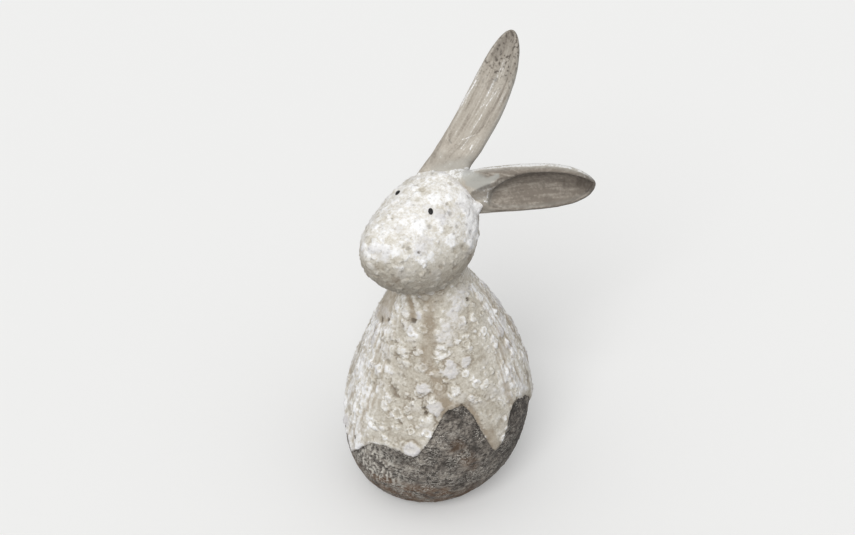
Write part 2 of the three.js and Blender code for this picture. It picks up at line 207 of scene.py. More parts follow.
# Wool felt, pressed and cut: short tangled fibres give a dull, faintly woolly surface. A single fibre is
# too fine to show, so the pattern is drawn as coarse as small tufts
felt, tree = material("die_cut_wool_felt")
place = add(tree, "TexCoord").outputs["Object"]
fibre = add(
    tree, "TexNoise", {"Vector": place, "Scale": 1 / (FELT_FIBRE * MM), "Detail": 4, "Distortion": 2.5},
)
tint = add(tree, "ValToRGB", {"Fac": fibre}, stops=[(0.35, FELT_DARK), (0.65, FELT_PALE)])
nap = add(tree, "Bump", {"Height": fibre, "Strength": 0.6, "Distance": 0.3 * MM})
skin = add(
    tree, "BsdfPrincipled", {"Base Color": tint, "Roughness": 0.98, "Sheen Weight": 0.3, "Normal": nap},
)
add(tree, "OutputMaterial", {"Surface": skin})
dress(nodes["base_pad"].data, felt)


# Clay body: a hollow egg thrown in coarse grey stoneware, left bare and rough below the glaze.
# Its foot is recessed for the pad, with a vent into the hollow, and its neck ends in the head's socket.
STATIONS = [
    # height, radius, how far back the middle lies
    (0.8, 23, 0),
    (6, 29.4, -2.2),
    (18, 37, 0.8),
    (38, 39, 5),
    (60, 33.4, 6.6),
    (76, 26.8, 6),
    (90, 19.9, 4.5),
    (104, 12.3, 2.4),
    (126, 10, -2),
]
BELLY_BACK = 5
BELLY_RADIUS = 39
CLAY_WALL = 5
RECESS_RADIUS = 18.3
RECESS_TOP = 2.5
VENT_RADIUS = 6
HOLLOW_FLOOR = 5.8
HOLLOW_LEVELS = (106, 100, 94, 86, 76, 64, 50, 38, 26, 16, 10, HOLLOW_FLOOR)
SPIGOT_STEP = 2.7
SPIGOT_TOP = 117
SHOULDER_STEP = 108
BARE_TOP = 66
BODY_SIDES = 420
BARE_STEP = 0.58
HIDDEN_STEP = 3
LINE_POINTS = 4000


def spline(points, share):
    """A point on a smooth curve through the points, which leaves each one by the root of its spacing."""
    points = np.asarray(points, float)
    points = np.vstack([2 * points[0] - points[1], points, 2 * points[-1] - points[-2]])
    at = share * (len(points) - 3)
    first = min(int(at), len(points) - 4)
    a, b, c, d = points[first : first + 4]
    gaps = [math.sqrt(np.linalg.norm(q - p)) for p, q in ((a, b), (b, c), (c, d))]
    leave = (b - a) / gaps[0] - (c - a) / (gaps[0] + gaps[1]) + (c - b) / gaps[1]
    reach = (c - b) / gaps[1] - (d - b) / (gaps[1] + gaps[2]) + (d - c) / gaps[2]
    leave, reach = leave * gaps[1], reach * gaps[1]
    w = at - first
    return b + w * leave + w**2 * (3 * (c - b) - 2 * leave - reach) + w**3 * (2 * (b - c) + leave + reach)


body_line = np.array([spline(STATIONS, k / LINE_POINTS) for k in range(LINE_POINTS + 1)])


def body_radius(height):
    """How wide the clay is at a height."""
    return np.interp(height, body_line[:, 0], body_line[:, 1])


def body_back(height):
    """How far behind the middle of the foot the body's own middle lies at a height."""
    return np.interp(height, body_line[:, 0], body_line[:, 2])


def grain(points, size, octaves=3, shift=0.0):
    """Smooth random values, about -1 to 1, whose lumps are of that size; a size may differ by axis."""
    scaled = np.asarray(points, float) / np.asarray(size, float) + shift
    return np.array([noise.fractal(Vector(p), 1.0, 2.0, octaves) for p in scaled])


def read_points(mesh):
    """The mesh's points and their normals, in millimetres."""
    flat = np.empty(len(mesh.vertices) * 3, np.float32)
    mesh.vertices.foreach_get("co", flat)
    ways = np.empty(len(mesh.vertices) * 3, np.float32)
    mesh.vertices.foreach_get("normal", ways)
    return flat.reshape(-1, 3).astype(float) / MM, ways.reshape(-1, 3).astype(float)


def write_points(mesh, points):
    """Moves the mesh's points to these places, given in millimetres."""
    mesh.vertices.foreach_set("co", (points * MM).astype(np.float32).ravel())
    mesh.update()


def paint(mesh, name, *values):
    """Keeps four values, from 0 to 1, at each point for the material to read."""
    layer = mesh.color_attributes.new(name, "FLOAT_COLOR", "POINT")
    rgba = np.ones((len(mesh.vertices), 4), np.float32)
    for k, value in enumerate(values):
        rgba[:, k] = np.clip(value, 0, 1)
    layer.data.foreach_set("color", rgba.ravel())


def painted(tree, name):
    """The four values painted on a mesh under a name, as sockets."""
    marks = add(tree, "Attribute", attribute_name=name)
    parts = add(tree, "SeparateColor", {"Color": marks.outputs["Color"]})
    return *parts.outputs, marks.outputs["Alpha"]


def turns_of(points):
    """The angle of each point round the body in degrees: 0 is the front, and 90 the rabbit's left."""
    return np.degrees(np.arctan2(points[:, 0], BELLY_BACK - points[:, 1]))


def ease(values, low, high):
    """0 at or before low, 1 at or past high, and smooth between."""
    share = np.clip((np.asarray(values, float) - low) / (high - low), 0, 1)
    return share * share * (3 - 2 * share)


def hump(values, middle, reach):
    """1 at the middle, and falling off to both sides of it within about twice the reach."""
    return np.exp(-(((values - middle) / reach) ** 2))


def stroke(place, line, half_width):
    """How much a mark along a line of pixels covers each place: 1 inside its width, easing to 0."""
    x, y = place
    off = np.full(len(x), 1e9)
    for (ax, ay), (bx, by) in zip(line, line[1:]):
        run = (bx - ax) ** 2 + (by - ay) ** 2
        share = np.clip(((x - ax) * (bx - ax) + (y - ay) * (by - ay)) / run, 0, 1)
        off = np.minimum(off, np.hypot(x - ax - share * (bx - ax), y - ay - share * (by - ay)))
    return 1 - ease(off, 0.5 * half_width, 1.3 * half_width)


def smooth(mesh):
    """Shades the mesh as a curved surface."""
    mesh.polygons.foreach_set("use_smooth", [True] * len(mesh.polygons))


outer = []
travelled = HIDDEN_STEP
last = body_line[0]
for spot in body_line:
    travelled += math.hypot(spot[0] - last[0], spot[1] - last[1])
    last = spot
    if travelled >= (BARE_STEP if spot[0] < BARE_TOP else HIDDEN_STEP) and spot[0] < SHOULDER_STEP:
        outer.append((spot[1], spot[0]))
        travelled = 0
neck_radius = float(body_radius(SHOULDER_STEP))
spigot_radius = float(body_radius(SPIGOT_TOP)) - SPIGOT_STEP
spigot = [
    (neck_radius, SHOULDER_STEP), (neck_radius - SPIGOT_STEP, SHOULDER_STEP), (spigot_radius, SPIGOT_TOP),
    (spigot_radius - CLAY_WALL + SPIGOT_STEP, SPIGOT_TOP),
]
inside = [(float(body_radius(level)) - CLAY_WALL, level) for level in HOLLOW_LEVELS]
foot = [
    (VENT_RADIUS, HOLLOW_FLOOR), (VENT_RADIUS, RECESS_TOP), (RECESS_RADIUS, RECESS_TOP),
    (RECESS_RADIUS, STATIONS[0][0]),
]
profile = outer + spigot + inside + foot

bm = bmesh.new()
ring = [bm.verts.new((r * MM, 0, h * MM)) for r, h in profile]
loop = [bm.edges.new((ring[k], ring[(k + 1) % len(ring)])) for k in range(len(ring))]
bmesh.ops.spin(
    bm, geom=ring + loop, cent=(0, 0, 0), axis=(0, 0, 1), dvec=(0, 0, 0), angle=2 * math.pi, steps=BODY_SIDES,
    use_merge=True, use_duplicate=False,
)
for vert in bm.verts:
    radius = math.hypot(vert.co.x, vert.co.y) / MM
    level = vert.co.z / MM
    if level > RECESS_TOP + 0.1 and radius > VENT_RADIUS + 0.1 or radius > RECESS_RADIUS + 0.1:
        vert.co.y += float(body_back(level)) * MM
bmesh.ops.remove_doubles(bm, verts=bm.verts, dist=1e-6)
bmesh.ops.recalc_face_normals(bm, faces=bm.faces)
clay_mesh = bpy.data.meshes.new("clay_body")
bm.to_mesh(clay_mesh)
bm.free()

# The bare belt is scraped level, which drags its grit into short furrows with pale worm-like crests.
# Grog shows as white flecks low on the breast, and the lower edge is rust-brown.
CLAY_LUMP = 0.16
CLAY_LUMP_SIZE = 4.5
CLAY_GRIT = 0.16
CLAY_GRIT_SIZE = 1.2
CLAY_FURROW = 0.22
CLAY_FURROW_SIZE = (2.4, 2.4, 1.25)
GROG = 0.15
GROG_SIZE = (1.1, 1.1, 2.4)
GROG_TURN = 2
GROG_TURN_REACH = 17
GROG_HEIGHT = 25
GROG_HEIGHT_REACH = 8
FOOT_SHADE = 0.45
FOOT_SHADE_TOP = 12
RUST_TURN = 15
RUST_TOP = 23
RUST_SIZE = (6, 6, 2.5)
RUST_HALF_WIDTH = 9
RUST_SPOT = [(457, 448), (464, 455), (471, 463)]
RUST_EDGE = [(374, 480), (386, 485), (402, 491), (424, 495), (444, 495)]

points, ways = read_points(clay_mesh)
turns = turns_of(points)
off_axis = np.hypot(points[:, 0], points[:, 1] - body_back(points[:, 2]))
wall = off_axis > body_radius(points[:, 2]) - 1
bare = wall * ease(points[:, 2], 1.0, 4.0) * (1 - ease(points[:, 2], BARE_TOP - 4, BARE_TOP))
lumps = grain(points, CLAY_LUMP_SIZE, 3)
grit = grain(points, CLAY_GRIT_SIZE, 2, 40.0)
furrow = grain(points, CLAY_FURROW_SIZE, 2, 90.0)
worms = np.clip(1 - np.abs(furrow) / 0.1, 0, 1) * ease(grain(points, 6.0, 2, 17.0), -0.3, 0.25)
off_turn = (turns - GROG_TURN) / GROG_TURN_REACH
off_height = (points[:, 2] - GROG_HEIGHT) / GROG_HEIGHT_REACH
grog = np.exp(-(off_turn**2) - off_height**2) * (1.6 * ease(grain(points, GROG_SIZE, 2, 23.0), 0.14, 0.28))
rise = CLAY_LUMP * lumps + CLAY_GRIT * grit + CLAY_FURROW * worms + GROG * grog
write_points(clay_mesh, points + ways * (rise * bare)[:, None])
blotch = ease(grain(points, RUST_SIZE, 3, 12.0), -0.55, 0.2)
rust = blotch * (1 - ease(points[:, 2], 8, RUST_TOP)) * ease(np.cos(np.radians(turns - RUST_TURN)), -0.4, 0.6)
in_sight = ways @ -camera_look > 0
for line, strength in ((RUST_SPOT, 0.5), (RUST_EDGE, 0.9)):
    mark = stroke(in_picture(points), line, RUST_HALF_WIDTH)
    rust = np.maximum(rust, strength * blotch * mark * in_sight)
shaded_side = 1 - ease(np.cos(np.radians(turns - GROG_TURN)), -0.3, 0.8)
tone = 0.5 + 0.45 * lumps + 0.55 * grit - 0.22 * shaded_side
tone -= FOOT_SHADE * (1 - ease(points[:, 2], 2, FOOT_SHADE_TOP))
streaked = ease(grain(points, 7.0, 2, 77.0), -0.4, 0.25) * (1 - 0.5 * shaded_side)
paint(clay_mesh, "bare_clay", tone, np.maximum(0.35 * worms, grog), rust, streaked)
smooth(clay_mesh)

CLAY_BLACK = "#3B3631"
CLAY_DARK = "#5B554F"
CLAY_MID = "#7B746C"
CLAY_PALE = "#A0998F"
CLAY_WORM = "#D6D1C7"
CLAY_RUST = "#6C523B"
CLAY_DRAG = 2.6
CLAY_GRAIN = 1.6


def laid_over(tree, tint, layers):
    """A tint with colours laid over it, each by its own share of the surface and no denser than given."""
    for share, density, colour in layers:
        part = add(tree, "Math", {0: share, 1: density}, operation="MULTIPLY")
        tint = add(tree, "Mix", {0: part, 6: tint, 7: shade(colour)}, data_type="RGBA").outputs[2]
    return tint


# Grogged stoneware, bare and reduction fired: grey-brown, dull and gritty, with pale flecks and rust
stoneware, tree = material("fired_grogged_stoneware")
place = add(tree, "TexCoord").outputs["Object"]
tone_mark, fleck_mark, rust_mark, streak_mark = painted(tree, "bare_clay")
stretch = add(tree, "VectorMath", {0: place, 1: (1, 1, 2.2)}, operation="MULTIPLY")
drag = add(
    tree, "TexNoise", {"Vector": stretch, "Scale": 1 / (CLAY_DRAG * MM), "Detail": 2.5, "Distortion": 1.2},
)
off_ridge = add(tree, "Math", {0: drag, 1: 0.5}, operation="SUBTRACT")
ridge_gap = add(tree, "Math", {0: off_ridge}, operation="ABSOLUTE")
crest = add(tree, "MapRange", {"Value": ridge_gap, "From Min": 0.035, "From Max": 0.008})
valley = add(tree, "MapRange", {"Value": off_ridge, "From Min": 0.02, "From Max": 0.09})
clay_grain = add(
    tree, "TexNoise",
    {"Vector": place, "Scale": 1 / (CLAY_GRAIN * MM), "Detail": 5, "Roughness": 0.75, "Distortion": 1.5},
)
level = add(tree, "Math", {0: valley, 1: -0.26, 2: tone_mark}, operation="MULTIPLY_ADD")
body_tone = add(tree, "Math", {0: clay_grain, 1: 1.9, 2: level}, operation="MULTIPLY_ADD")
body_range = add(tree, "MapRange", {"Value": body_tone, "From Min": 0.92, "From Max": 1.92})
clay_tint = add(
    tree, "ValToRGB", {"Fac": body_range},
    stops=[(0.08, CLAY_BLACK), (0.36, CLAY_DARK), (0.62, CLAY_MID), (0.95, CLAY_PALE)],
)
crest_share = add(tree, "Math", {0: crest, 1: streak_mark}, operation="MULTIPLY")
worm_share = add(
    tree, "Math", {0: crest_share, 1: 0.95, 2: fleck_mark}, operation="MULTIPLY_ADD", use_clamp=True,
)
flecked = laid_over(tree, clay_tint, [(rust_mark, 0.8, CLAY_RUST), (worm_share, 1, CLAY_WORM)])
relief = add(tree, "Math", {0: crest, 1: 0.5, 2: clay_grain}, operation="MULTIPLY_ADD")
rough = add(tree, "Bump", {"Height": relief, "Strength": 0.8, "Distance": 0.3 * MM})
skin = add(tree, "BsdfPrincipled", {"Base Color": flecked, "Roughness": 0.88, "Normal": rough})
add(tree, "OutputMaterial", {"Surface": skin})

clay_body = piece_of("clay_body", clay_mesh, stoneware)
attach(clay_body, "root")
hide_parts("body_shell")


# Head shell and neck seam: the same clay, pinched into a hollow egg and joined to the neck with slip.
# The head tips forward, and its two ends are bent upward. All of it is hidden under the glaze.
HEAD_MIDDLE = (0, -6.5, 125.1)
HEAD_TIP = 19
HEAD_LENGTH = 49.6
HEAD_BEND = 9
CROWN_WIDTH = 45.4
CROWN_HEIGHT = 38
MUZZLE_WIDTH = 29.6
MUZZLE_HEIGHT = 42.2
CORE_GROG = 1.3

head_along = Vector((0, -math.cos(math.radians(HEAD_TIP)), -math.sin(math.radians(HEAD_TIP))))
head_up = Vector((0, -math.sin(math.radians(HEAD_TIP)), math.cos(math.radians(HEAD_TIP))))


def head_halves(reach):
    """Half the head's width and half its height at a reach from -1 at the crown to 1 at the muzzle."""
    share = (1 + reach) / 2
    width = CROWN_WIDTH + (MUZZLE_WIDTH - CROWN_WIDTH) * share
    height = CROWN_HEIGHT + (MUZZLE_HEIGHT - CROWN_HEIGHT) * share
    return width / 2, height / 2


def head_point(across, up, reach):
    """A point of the head's egg from a point of a unit ball whose reach runs from crown to muzzle."""
    half_width, half_height = head_halves(reach)
    lifted = HEAD_BEND * reach**2 + half_height * up
    side = Vector((half_width * across, 0, 0))
    return Vector(HEAD_MIDDLE) + head_along * (reach * (HEAD_LENGTH / 2)) + head_up * lifted + side


def inside_head(point):
    """Whether a point lies inside the head's egg."""
    away = Vector(point) - Vector(HEAD_MIDDLE)
    reach = away.dot(head_along) / (HEAD_LENGTH / 2)
    half_width, half_height = head_halves(reach)
    up = away.dot(head_up) - HEAD_BEND * reach**2
    return reach**2 + (away.x / half_width) ** 2 + (up / half_height) ** 2 < 1


# Grogged stoneware, pinched by hand and fired: dull, even grey-brown with fine grog
core_clay, tree = material("pinched_grogged_stoneware")
place = add(tree, "TexCoord").outputs["Object"]
grog = add(tree, "TexNoise", {"Vector": place, "Scale": 1 / (CORE_GROG * MM), "Detail": 5, "Roughness": 0.6})
core_tint = add(tree, "ValToRGB", {"Fac": grog}, stops=[(0.3, CLAY_DARK), (0.5, CLAY_MID), (0.7, CLAY_PALE)])
skin = add(tree, "BsdfPrincipled", {"Base Color": core_tint, "Roughness": 0.9})
add(tree, "OutputMaterial", {"Surface": skin})
for name in ("head_shell", "neck_seam"):
    dress(nodes[name].data, core_clay)


# Ears: two solid leaves of the same clay, scooped out in front with a loop tool and brushed lengthwise
# with thin white slip. A web of smoothed slip ties them together over the crown.
RIGHT_EAR = {
    "along": 19.9, "around": 134.6, "bearing": 83.2, "elevation": 55, "length": 62.5, "width": 17.2,
    "depth": 8.5, "taper_start": 4.87, "taper_round": 0.59, "bow": 1.8, "curl": -2.5, "roll": 8,
    "dish_start": 0.15, "dish_heel": 0.6, "dish_shift": -0.4, "dish_depth": 3.6,
}
LEFT_EAR = {
    "along": 15.2, "around": 2, "bearing": 13.4, "elevation": 23.3, "length": 58.1, "width": 19.9,
    "depth": 8.5, "taper_start": 5.3, "taper_round": 0.64, "bow": 0.6, "curl": -1.4, "roll": 10,
    "dish_start": 0.17, "dish_heel": 0.52, "dish_shift": 0.62, "dish_depth": 5.6,
}
EAR_SQUARENESS = 0.85
EAR_RIM = 1.4
EAR_SINK = 8
EAR_TIP_CROWDING = 1.7
EAR_SIDES = 72
EAR_LEVELS = 90
DISH_SIDES = 64
DISH_LEVELS = 80
EAR_STEP = 0.34
EAR_PASSES = 3
WEB_REACH = 8
WEB_PASSES = 220
HEEL_PASSES = 70
EGG_SIDES = 96
HEAD_LEVELS = 64


def balloon(sides, levels, place):
    """A closed form blown up from a ball: place gives each point from its level, 0 to 1, and its turn."""
    bm = bmesh.new()
    bmesh.ops.create_uvsphere(bm, u_segments=sides, v_segments=levels, radius=1)
    for vert in bm.verts:
        level = 1 - math.acos(max(-1, min(1, vert.co.z))) / math.pi
        vert.co = place(level, math.atan2(vert.co.y, vert.co.x)) * MM
    bmesh.ops.recalc_face_normals(bm, faces=bm.faces)
    return bm


def mesh_from(*forms):
    """Several closed forms as one mesh."""
    made = bpy.data.meshes.new("forms")
    whole = bmesh.new()
    for form in forms:
        form.to_mesh(made)
        form.free()
        whole.from_mesh(made)
    whole.to_mesh(made)
    whole.free()
    return made


def settle(piece):
    """Works the piece's modifiers into its mesh."""
    graph = bpy.context.evaluated_depsgraph_get()
    made = bpy.data.meshes.new_from_object(piece.evaluated_get(graph))
    piece.modifiers.clear()
    piece.data = made


def skinned(name, mesh, step):
    """One even skin of small squares round all that the closed forms enclose."""
    made = piece_of(name, mesh)
    wrap = made.modifiers.new("skin", "REMESH")
    wrap.mode = "VOXEL"
    wrap.voxel_size = step * MM
    wrap.adaptivity = 0
    settle(made)
    return made


def cut_away(target, tool):
    """Cuts one closed piece out of another and discards it."""
    cut = target.modifiers.new("cut", "BOOLEAN")
    cut.operation = "DIFFERENCE"
    cut.object = tool
    cut.solver = "MANIFOLD"
    settle(target)
    bpy.data.objects.remove(tool)


def soften(mesh, weights, passes):
    """Draws each point towards the middle of its neighbours, by its weight, several times."""
    points, _ = read_points(mesh)
    pairs = np.empty(len(mesh.edges) * 2, np.int32)
    mesh.edges.foreach_get("vertices", pairs)
    a, b = pairs.reshape(-1, 2).T
    count = np.bincount(np.concatenate([a, b]), minlength=len(points)).astype(float)
    pull = (0.5 * np.asarray(weights, float) * np.ones(len(points)))[:, None]
    for _ in range(passes):
        total = np.zeros_like(points)
        for k in range(3):
            total[:, k] = np.bincount(a, points[b, k], len(points))
            total[:, k] += np.bincount(b, points[a, k], len(points))
        points += pull * (total / count[:, None] - points)
    write_points(mesh, points)


def ear_frame(ear):
    """Where an ear stands, the way it points, its broad way and the way its dish faces."""
    along, around = math.radians(ear["along"]), math.radians(ear["around"])
    rim = math.sin(along)
    root = head_point(rim * math.cos(around), rim * math.sin(around), -math.cos(along))
    bearing, elevation = math.radians(ear["bearing"]), math.radians(ear["elevation"])
    level = math.cos(elevation)
    axis = Vector((level * math.cos(bearing), level * math.sin(bearing), math.sin(elevation)))
    ahead = Vector((0, -1, 0))
    facing = (ahead - axis * ahead.dot(axis)).normalized()
    facing = Matrix.Rotation(math.radians(ear["roll"]), 3, axis) @ facing
    return root, axis, facing, axis.cross(facing)


def ear_line(ear, share):
    """A point on the ear's arched middle line."""
    root, axis, facing, across = ear_frame(ear)
    arch = 4 * share * (1 - share) if share > 0 else 4 * share
    bent = across * (ear["bow"] * arch) + facing * (ear["curl"] * arch)
    return root + axis * (ear["length"] * share) + bent


def ear_fullness(ear, share):
    """How full the ear is at a share of its length, from 1 at the root to 0 at the tip."""
    return max(1 - max(share, 0) ** ear["taper_start"], 0) ** ear["taper_round"]


def squarish(value):
    """Fills out the corners of an ear's oval section."""
    return math.copysign(abs(value) ** EAR_SQUARENESS, value)


def ear_form(ear):
    """The whole leaf, from inside the head to its tip."""
    _, _, facing, across = ear_frame(ear)

    def place(level, turn):
        share = 1 - (1 + EAR_SINK / ear["length"]) * (1 - level) ** EAR_TIP_CROWDING
        full = ear_fullness(ear, share) if level > 0 else 0
        wide = across * (ear["width"] / 2 * full * squarish(math.sin(turn)))
        deep = facing * (ear["depth"] / 2 * full * squarish(math.cos(turn)))
        return ear_line(ear, share) + wide + deep

    return balloon(EAR_SIDES, EAR_LEVELS, place)


def dish_form(ear):
    """What the loop tool takes out of the front of the ear."""
    _, _, facing, across = ear_frame(ear)
    rim_share = 2 * EAR_RIM / ear["width"]
    end = (1 - rim_share ** (1 / ear["taper_round"])) ** (1 / ear["taper_start"])
    widest = ear["width"] / 2 - EAR_RIM

    def place(level, turn):
        share = ear["dish_start"] + (end - ear["dish_start"]) * (1 - math.cos(level * math.pi)) / 2
        heel = min((share - ear["dish_start"]) / ear["dish_heel"], 1)
        full = ear_fullness(ear, share)
        inner = max(ear["width"] / 2 * full - EAR_RIM, 0)
        half = inner * math.sqrt(max(1 - (1 - heel) ** 2, 0))
        scoop = ear["dish_depth"] * min(full, math.sqrt(half / widest))
        middle = ear_line(ear, share) + across * (ear["dish_shift"] * (inner - half))
        middle += facing * (ear["depth"] / 2 * full)
        return middle + across * (half * math.sin(turn)) + facing * (scoop * math.cos(turn))

    return balloon(DISH_SIDES, DISH_LEVELS, place)


def head_place(level, turn):
    """The head's outside from crown to muzzle."""
    reach = -math.cos(level * math.pi)
    rim = math.sin(level * math.pi)
    return head_point(rim * math.cos(turn), rim * math.sin(turn), reach)


def ear_marks(ear, points):
    """Shares along the ear and across it, how far out of its face each point lies, and its fullness."""
    root, axis, facing, across = (np.array(v) for v in ear_frame(ear))
    away = points - root
    share = away @ axis / ear["length"]
    arch = np.where(share > 0, 4 * share * (1 - share), 4 * share)
    sideways = away @ across - ear["bow"] * arch
    outward = away @ facing - ear["curl"] * arch
    full = np.array([ear_fullness(ear, min(s, 1)) for s in share])
    return np.stack([share, sideways / (ear["width"] / 2), outward, full])


def leaf_gap(ear, marks):
    """About how far a point is outside the ear's leaf, in millimetres."""
    _, side, out, full = marks
    wide = np.abs(side) * ear["width"] / 2 - ear["width"] / 2 * full
    deep = np.abs(out) - ear["depth"] / 2 * full
    below = -marks[0] * ear["length"] - EAR_SINK
    return np.maximum(np.maximum(wide, deep), below)


def facing_camera(points, ways, edge=0.02):
    """Which points of a surface face the camera: 0 up to an edge, where 0 is the outline, and then 1."""
    sight = np.array(CAMERA_PLACE) - points
    sight /= np.linalg.norm(sight, axis=1)[:, None]
    return ease((ways * sight).sum(axis=1), edge, edge + 0.18)


leaves = []
for ear in (RIGHT_EAR, LEFT_EAR):
    leaf = piece_of("leaf", mesh_from(ear_form(ear)))
    cut_away(leaf, piece_of("dish", mesh_from(dish_form(ear))))
    form = bmesh.new()
    form.from_mesh(leaf.data)
    leaves.append(form)
    bpy.data.objects.remove(leaf)
ears = skinned("ears", mesh_from(*leaves), EAR_STEP)
soften(ears.data, 1, EAR_PASSES)

points, _ = read_points(ears.data)
right_marks = ear_marks(RIGHT_EAR, points)
left_marks = ear_marks(LEFT_EAR, points)
both_near = np.maximum(leaf_gap(RIGHT_EAR, right_marks), leaf_gap(LEFT_EAR, left_marks))
soften(ears.data, 1 - ease(both_near, WEB_REACH * 0.25, WEB_REACH * 0.8), WEB_PASSES)
on_right = leaf_gap(RIGHT_EAR, right_marks) < leaf_gap(LEFT_EAR, left_marks)
soften(ears.data, on_right * (1 - ease(right_marks[0], 0.3, 0.5)), HEEL_PASSES)
soften(ears.data, ~on_right * (1 - ease(left_marks[0], 0.2, 0.4)), HEEL_PASSES // 2)

points, ways = read_points(ears.data)
is_left = leaf_gap(LEFT_EAR, left_marks) < leaf_gap(RIGHT_EAR, right_marks)
along, side, out, full = np.where(is_left, left_marks, right_marks)
right_forward, left_forward = [ways @ np.array(ear_frame(ear)[2]) for ear in (RIGHT_EAR, LEFT_EAR)]
forward = np.where(is_left, left_forward, right_forward)
in_dish = ease(RIGHT_EAR["depth"] / 2 * full - out, 0.5, 1.6) * ease(forward, 0.1, 0.5)
in_dish *= ease(along, 0.12, 0.19)

# Brush marks that show in the picture: lines of pixels, how wide and how strong each is
EAR_STROKES = [
    ([(481, 73), (473.5, 85), (464, 99), (456, 112), (449, 124), (443, 136)], 0.7, 0.4),
    ([(478, 78), (467, 96), (458, 111)], 0.7, 0.45), ([(493, 93), (485, 104), (476.5, 115)], 0.8, 0.35),
    ([(499, 88), (492, 98), (486, 106)], 0.7, 0.35), ([(504, 60), (500, 70), (496, 80)], 0.7, 0.3),
    ([(471, 135), (461, 149)], 0.8, 0.65), ([(476.5, 138), (470, 148)], 0.8, 0.7),
    ([(467, 138), (458, 145)], 0.7, 0.6), ([(461, 140), (478, 134)], 0.6, 0.5),
    ([(474, 141), (463, 150)], 0.6, 0.5), ([(481, 130), (474, 140)], 0.6, 0.45),
    ([(446, 138), (452, 144)], 0.6, 0.45), ([(449, 128), (447, 136), (451, 142)], 0.6, 0.5),
    ([(435, 148), (429.5, 158.5)], 0.7, 0.5), ([(478, 170.5), (496, 174), (514, 175.5)], 0.6, 0.7),
    ([(479, 173), (490, 175.5)], 0.5, 0.5), ([(493, 166.5), (509, 171.5)], 0.6, 0.5),
    ([(500, 165), (512, 169), (520, 173)], 0.5, 0.45), ([(524, 166), (533, 167.5)], 0.6, 0.5),
    ([(488, 192.5), (487.5, 196.5), (491, 201.5), (499, 206), (506, 208)], 0.6, 0.9),
    ([(497, 190), (505, 187.5), (520, 184)], 1.3, 0.6), ([(503, 191.5), (507, 190.5)], 0.8, 0.5),
    ([(485, 200.7), (488, 201.5)], 0.7, 1.2), ([(499, 199), (515, 203), (536, 203.5)], 2.4, 0.22),
    ([(526, 193.5), (537, 196)], 0.6, 0.5), ([(530, 186), (536, 185.5)], 0.8, 0.35),
    ([(537, 178.5), (556, 177)], 0.5, 0.35), ([(545, 190), (562, 188)], 1.2, 0.25),
    ([(535, 173.5), (560, 172.5)], 0.6, 0.35),
]
# Where a wet finger drew the slip of the web smooth
EAR_WIPED = [
    ([(467, 175), (475, 178), (484, 182)], 6.5), ([(470, 182), (480, 187), (487, 184)], 4.5),
    ([(487, 180), (497, 176.5)], 3.0),
]
# Dark places on the ears: painted shadow under the upper edge of the side ear's dish and at the roots of both
# ears, and the dark tips and pores
EAR_SHADOWS_AND_DARKS = [
    ([(473, 193.5), (485, 188), (494, 184), (504, 179.5), (518, 176), (531, 174.5)], 2.6, 0.75),
    ([(531, 174.5), (557, 173.5), (578, 175), (588, 180)], 2.2, 0.7),
    ([(490, 190), (500, 185), (512, 181), (531, 178.5), (557, 178), (580, 181)], 4.5, 0.4),
    ([(473, 197), (482, 195), (488, 190), (497, 186)], 4.5, 0.6), ([(483, 204), (497, 208)], 3.0, 0.3),
    ([(480, 208), (500, 209)], 2.4, 0.35), ([(512, 33), (504, 42), (497, 56)], 6.0, 0.5),
    ([(515, 40), (513, 60), (508, 78)], 5.0, 0.28), ([(505, 50), (497, 72), (490, 88)], 3.0, 0.25),
    ([(583, 181), (593, 187)], 9.0, 0.9), ([(566, 180), (582, 184)], 9.0, 0.35),
    ([(512.8, 35), (513.4, 36)], 0.8, 1.0), ([(511.8, 42.5), (512.4, 43.5)], 0.7, 0.9),
    ([(510.5, 54), (508.5, 58)], 0.7, 1.0), ([(449.5, 140.5), (451, 143)], 0.9, 0.7),
    ([(432, 150), (424, 164)], 2.0, 0.25), ([(436, 160), (452, 162), (468, 165)], 9.0, 0.2),
]

picture_place = in_picture(points)
near_side = facing_camera(points, ways, -0.45)
sway = 0.9 * np.stack([grain(points, 5.0, 2, 61.0), grain(points, 5.0, 2, 83.0)])
swayed = (picture_place[0] + sway[0], picture_place[1] + sway[1])
brush_place = np.stack([side * 9 + 40 * is_left, out, along * 60], axis=1)
brush = grain(brush_place, (0.8, 1.2, 15.0), 3, 3.0)
broad = grain(brush_place, (3.5, 3.5, 22.0), 2, 13.0)
ear_lumps = grain(points, 4.0, 3, 33.0)
streaked = ease(along, 0.05, 0.3)
speck = grain(points, 1.2, 2, 7.0)
pale = 0.55 + 0.36 * brush * streaked + 0.2 * broad + (0.22 * ear_lumps + 0.12 * speck) * (1 - streaked)
pale += is_left * (0.1 - 0.44 * in_dish)
# Painted light: the side ear's outer faces are made paler the more they face up; its dish is speckled
pale += is_left * (0.3 * in_dish * speck + 0.34 * (1 - in_dish) * ease(ways[:, 2], 0.2, 0.8))
dark = 0.45 * ease(along, 0.68, 1.0) * (0.4 + 0.6 * in_dish)
for line, half_width, strength in EAR_STROKES:
    pale += 0.44 * strength * stroke(swayed, line, half_width) * near_side
# Painted shadow under the side ear's rim and at the ear roots, laid in with the dark tips and pores
for line, half_width, strength in EAR_SHADOWS_AND_DARKS:
    dark = np.maximum(dark, strength * stroke(swayed, line, half_width) * near_side)
# Burnt grit stands out as dark pores towards the upright ear's tip
grit = grain(points, (0.9, 0.9, 1.5), 2, 51.0)
dark += 0.75 * ease(grit, 0.22, 0.42) * ease(along, 0.5, 0.85) * ~is_left * ease(forward, -0.2, 0.3)
dark += 0.22 * is_left * in_dish * ease(ear_lumps, 0.0, 0.5)
dark *= 1 + 0.4 * grit * streaked
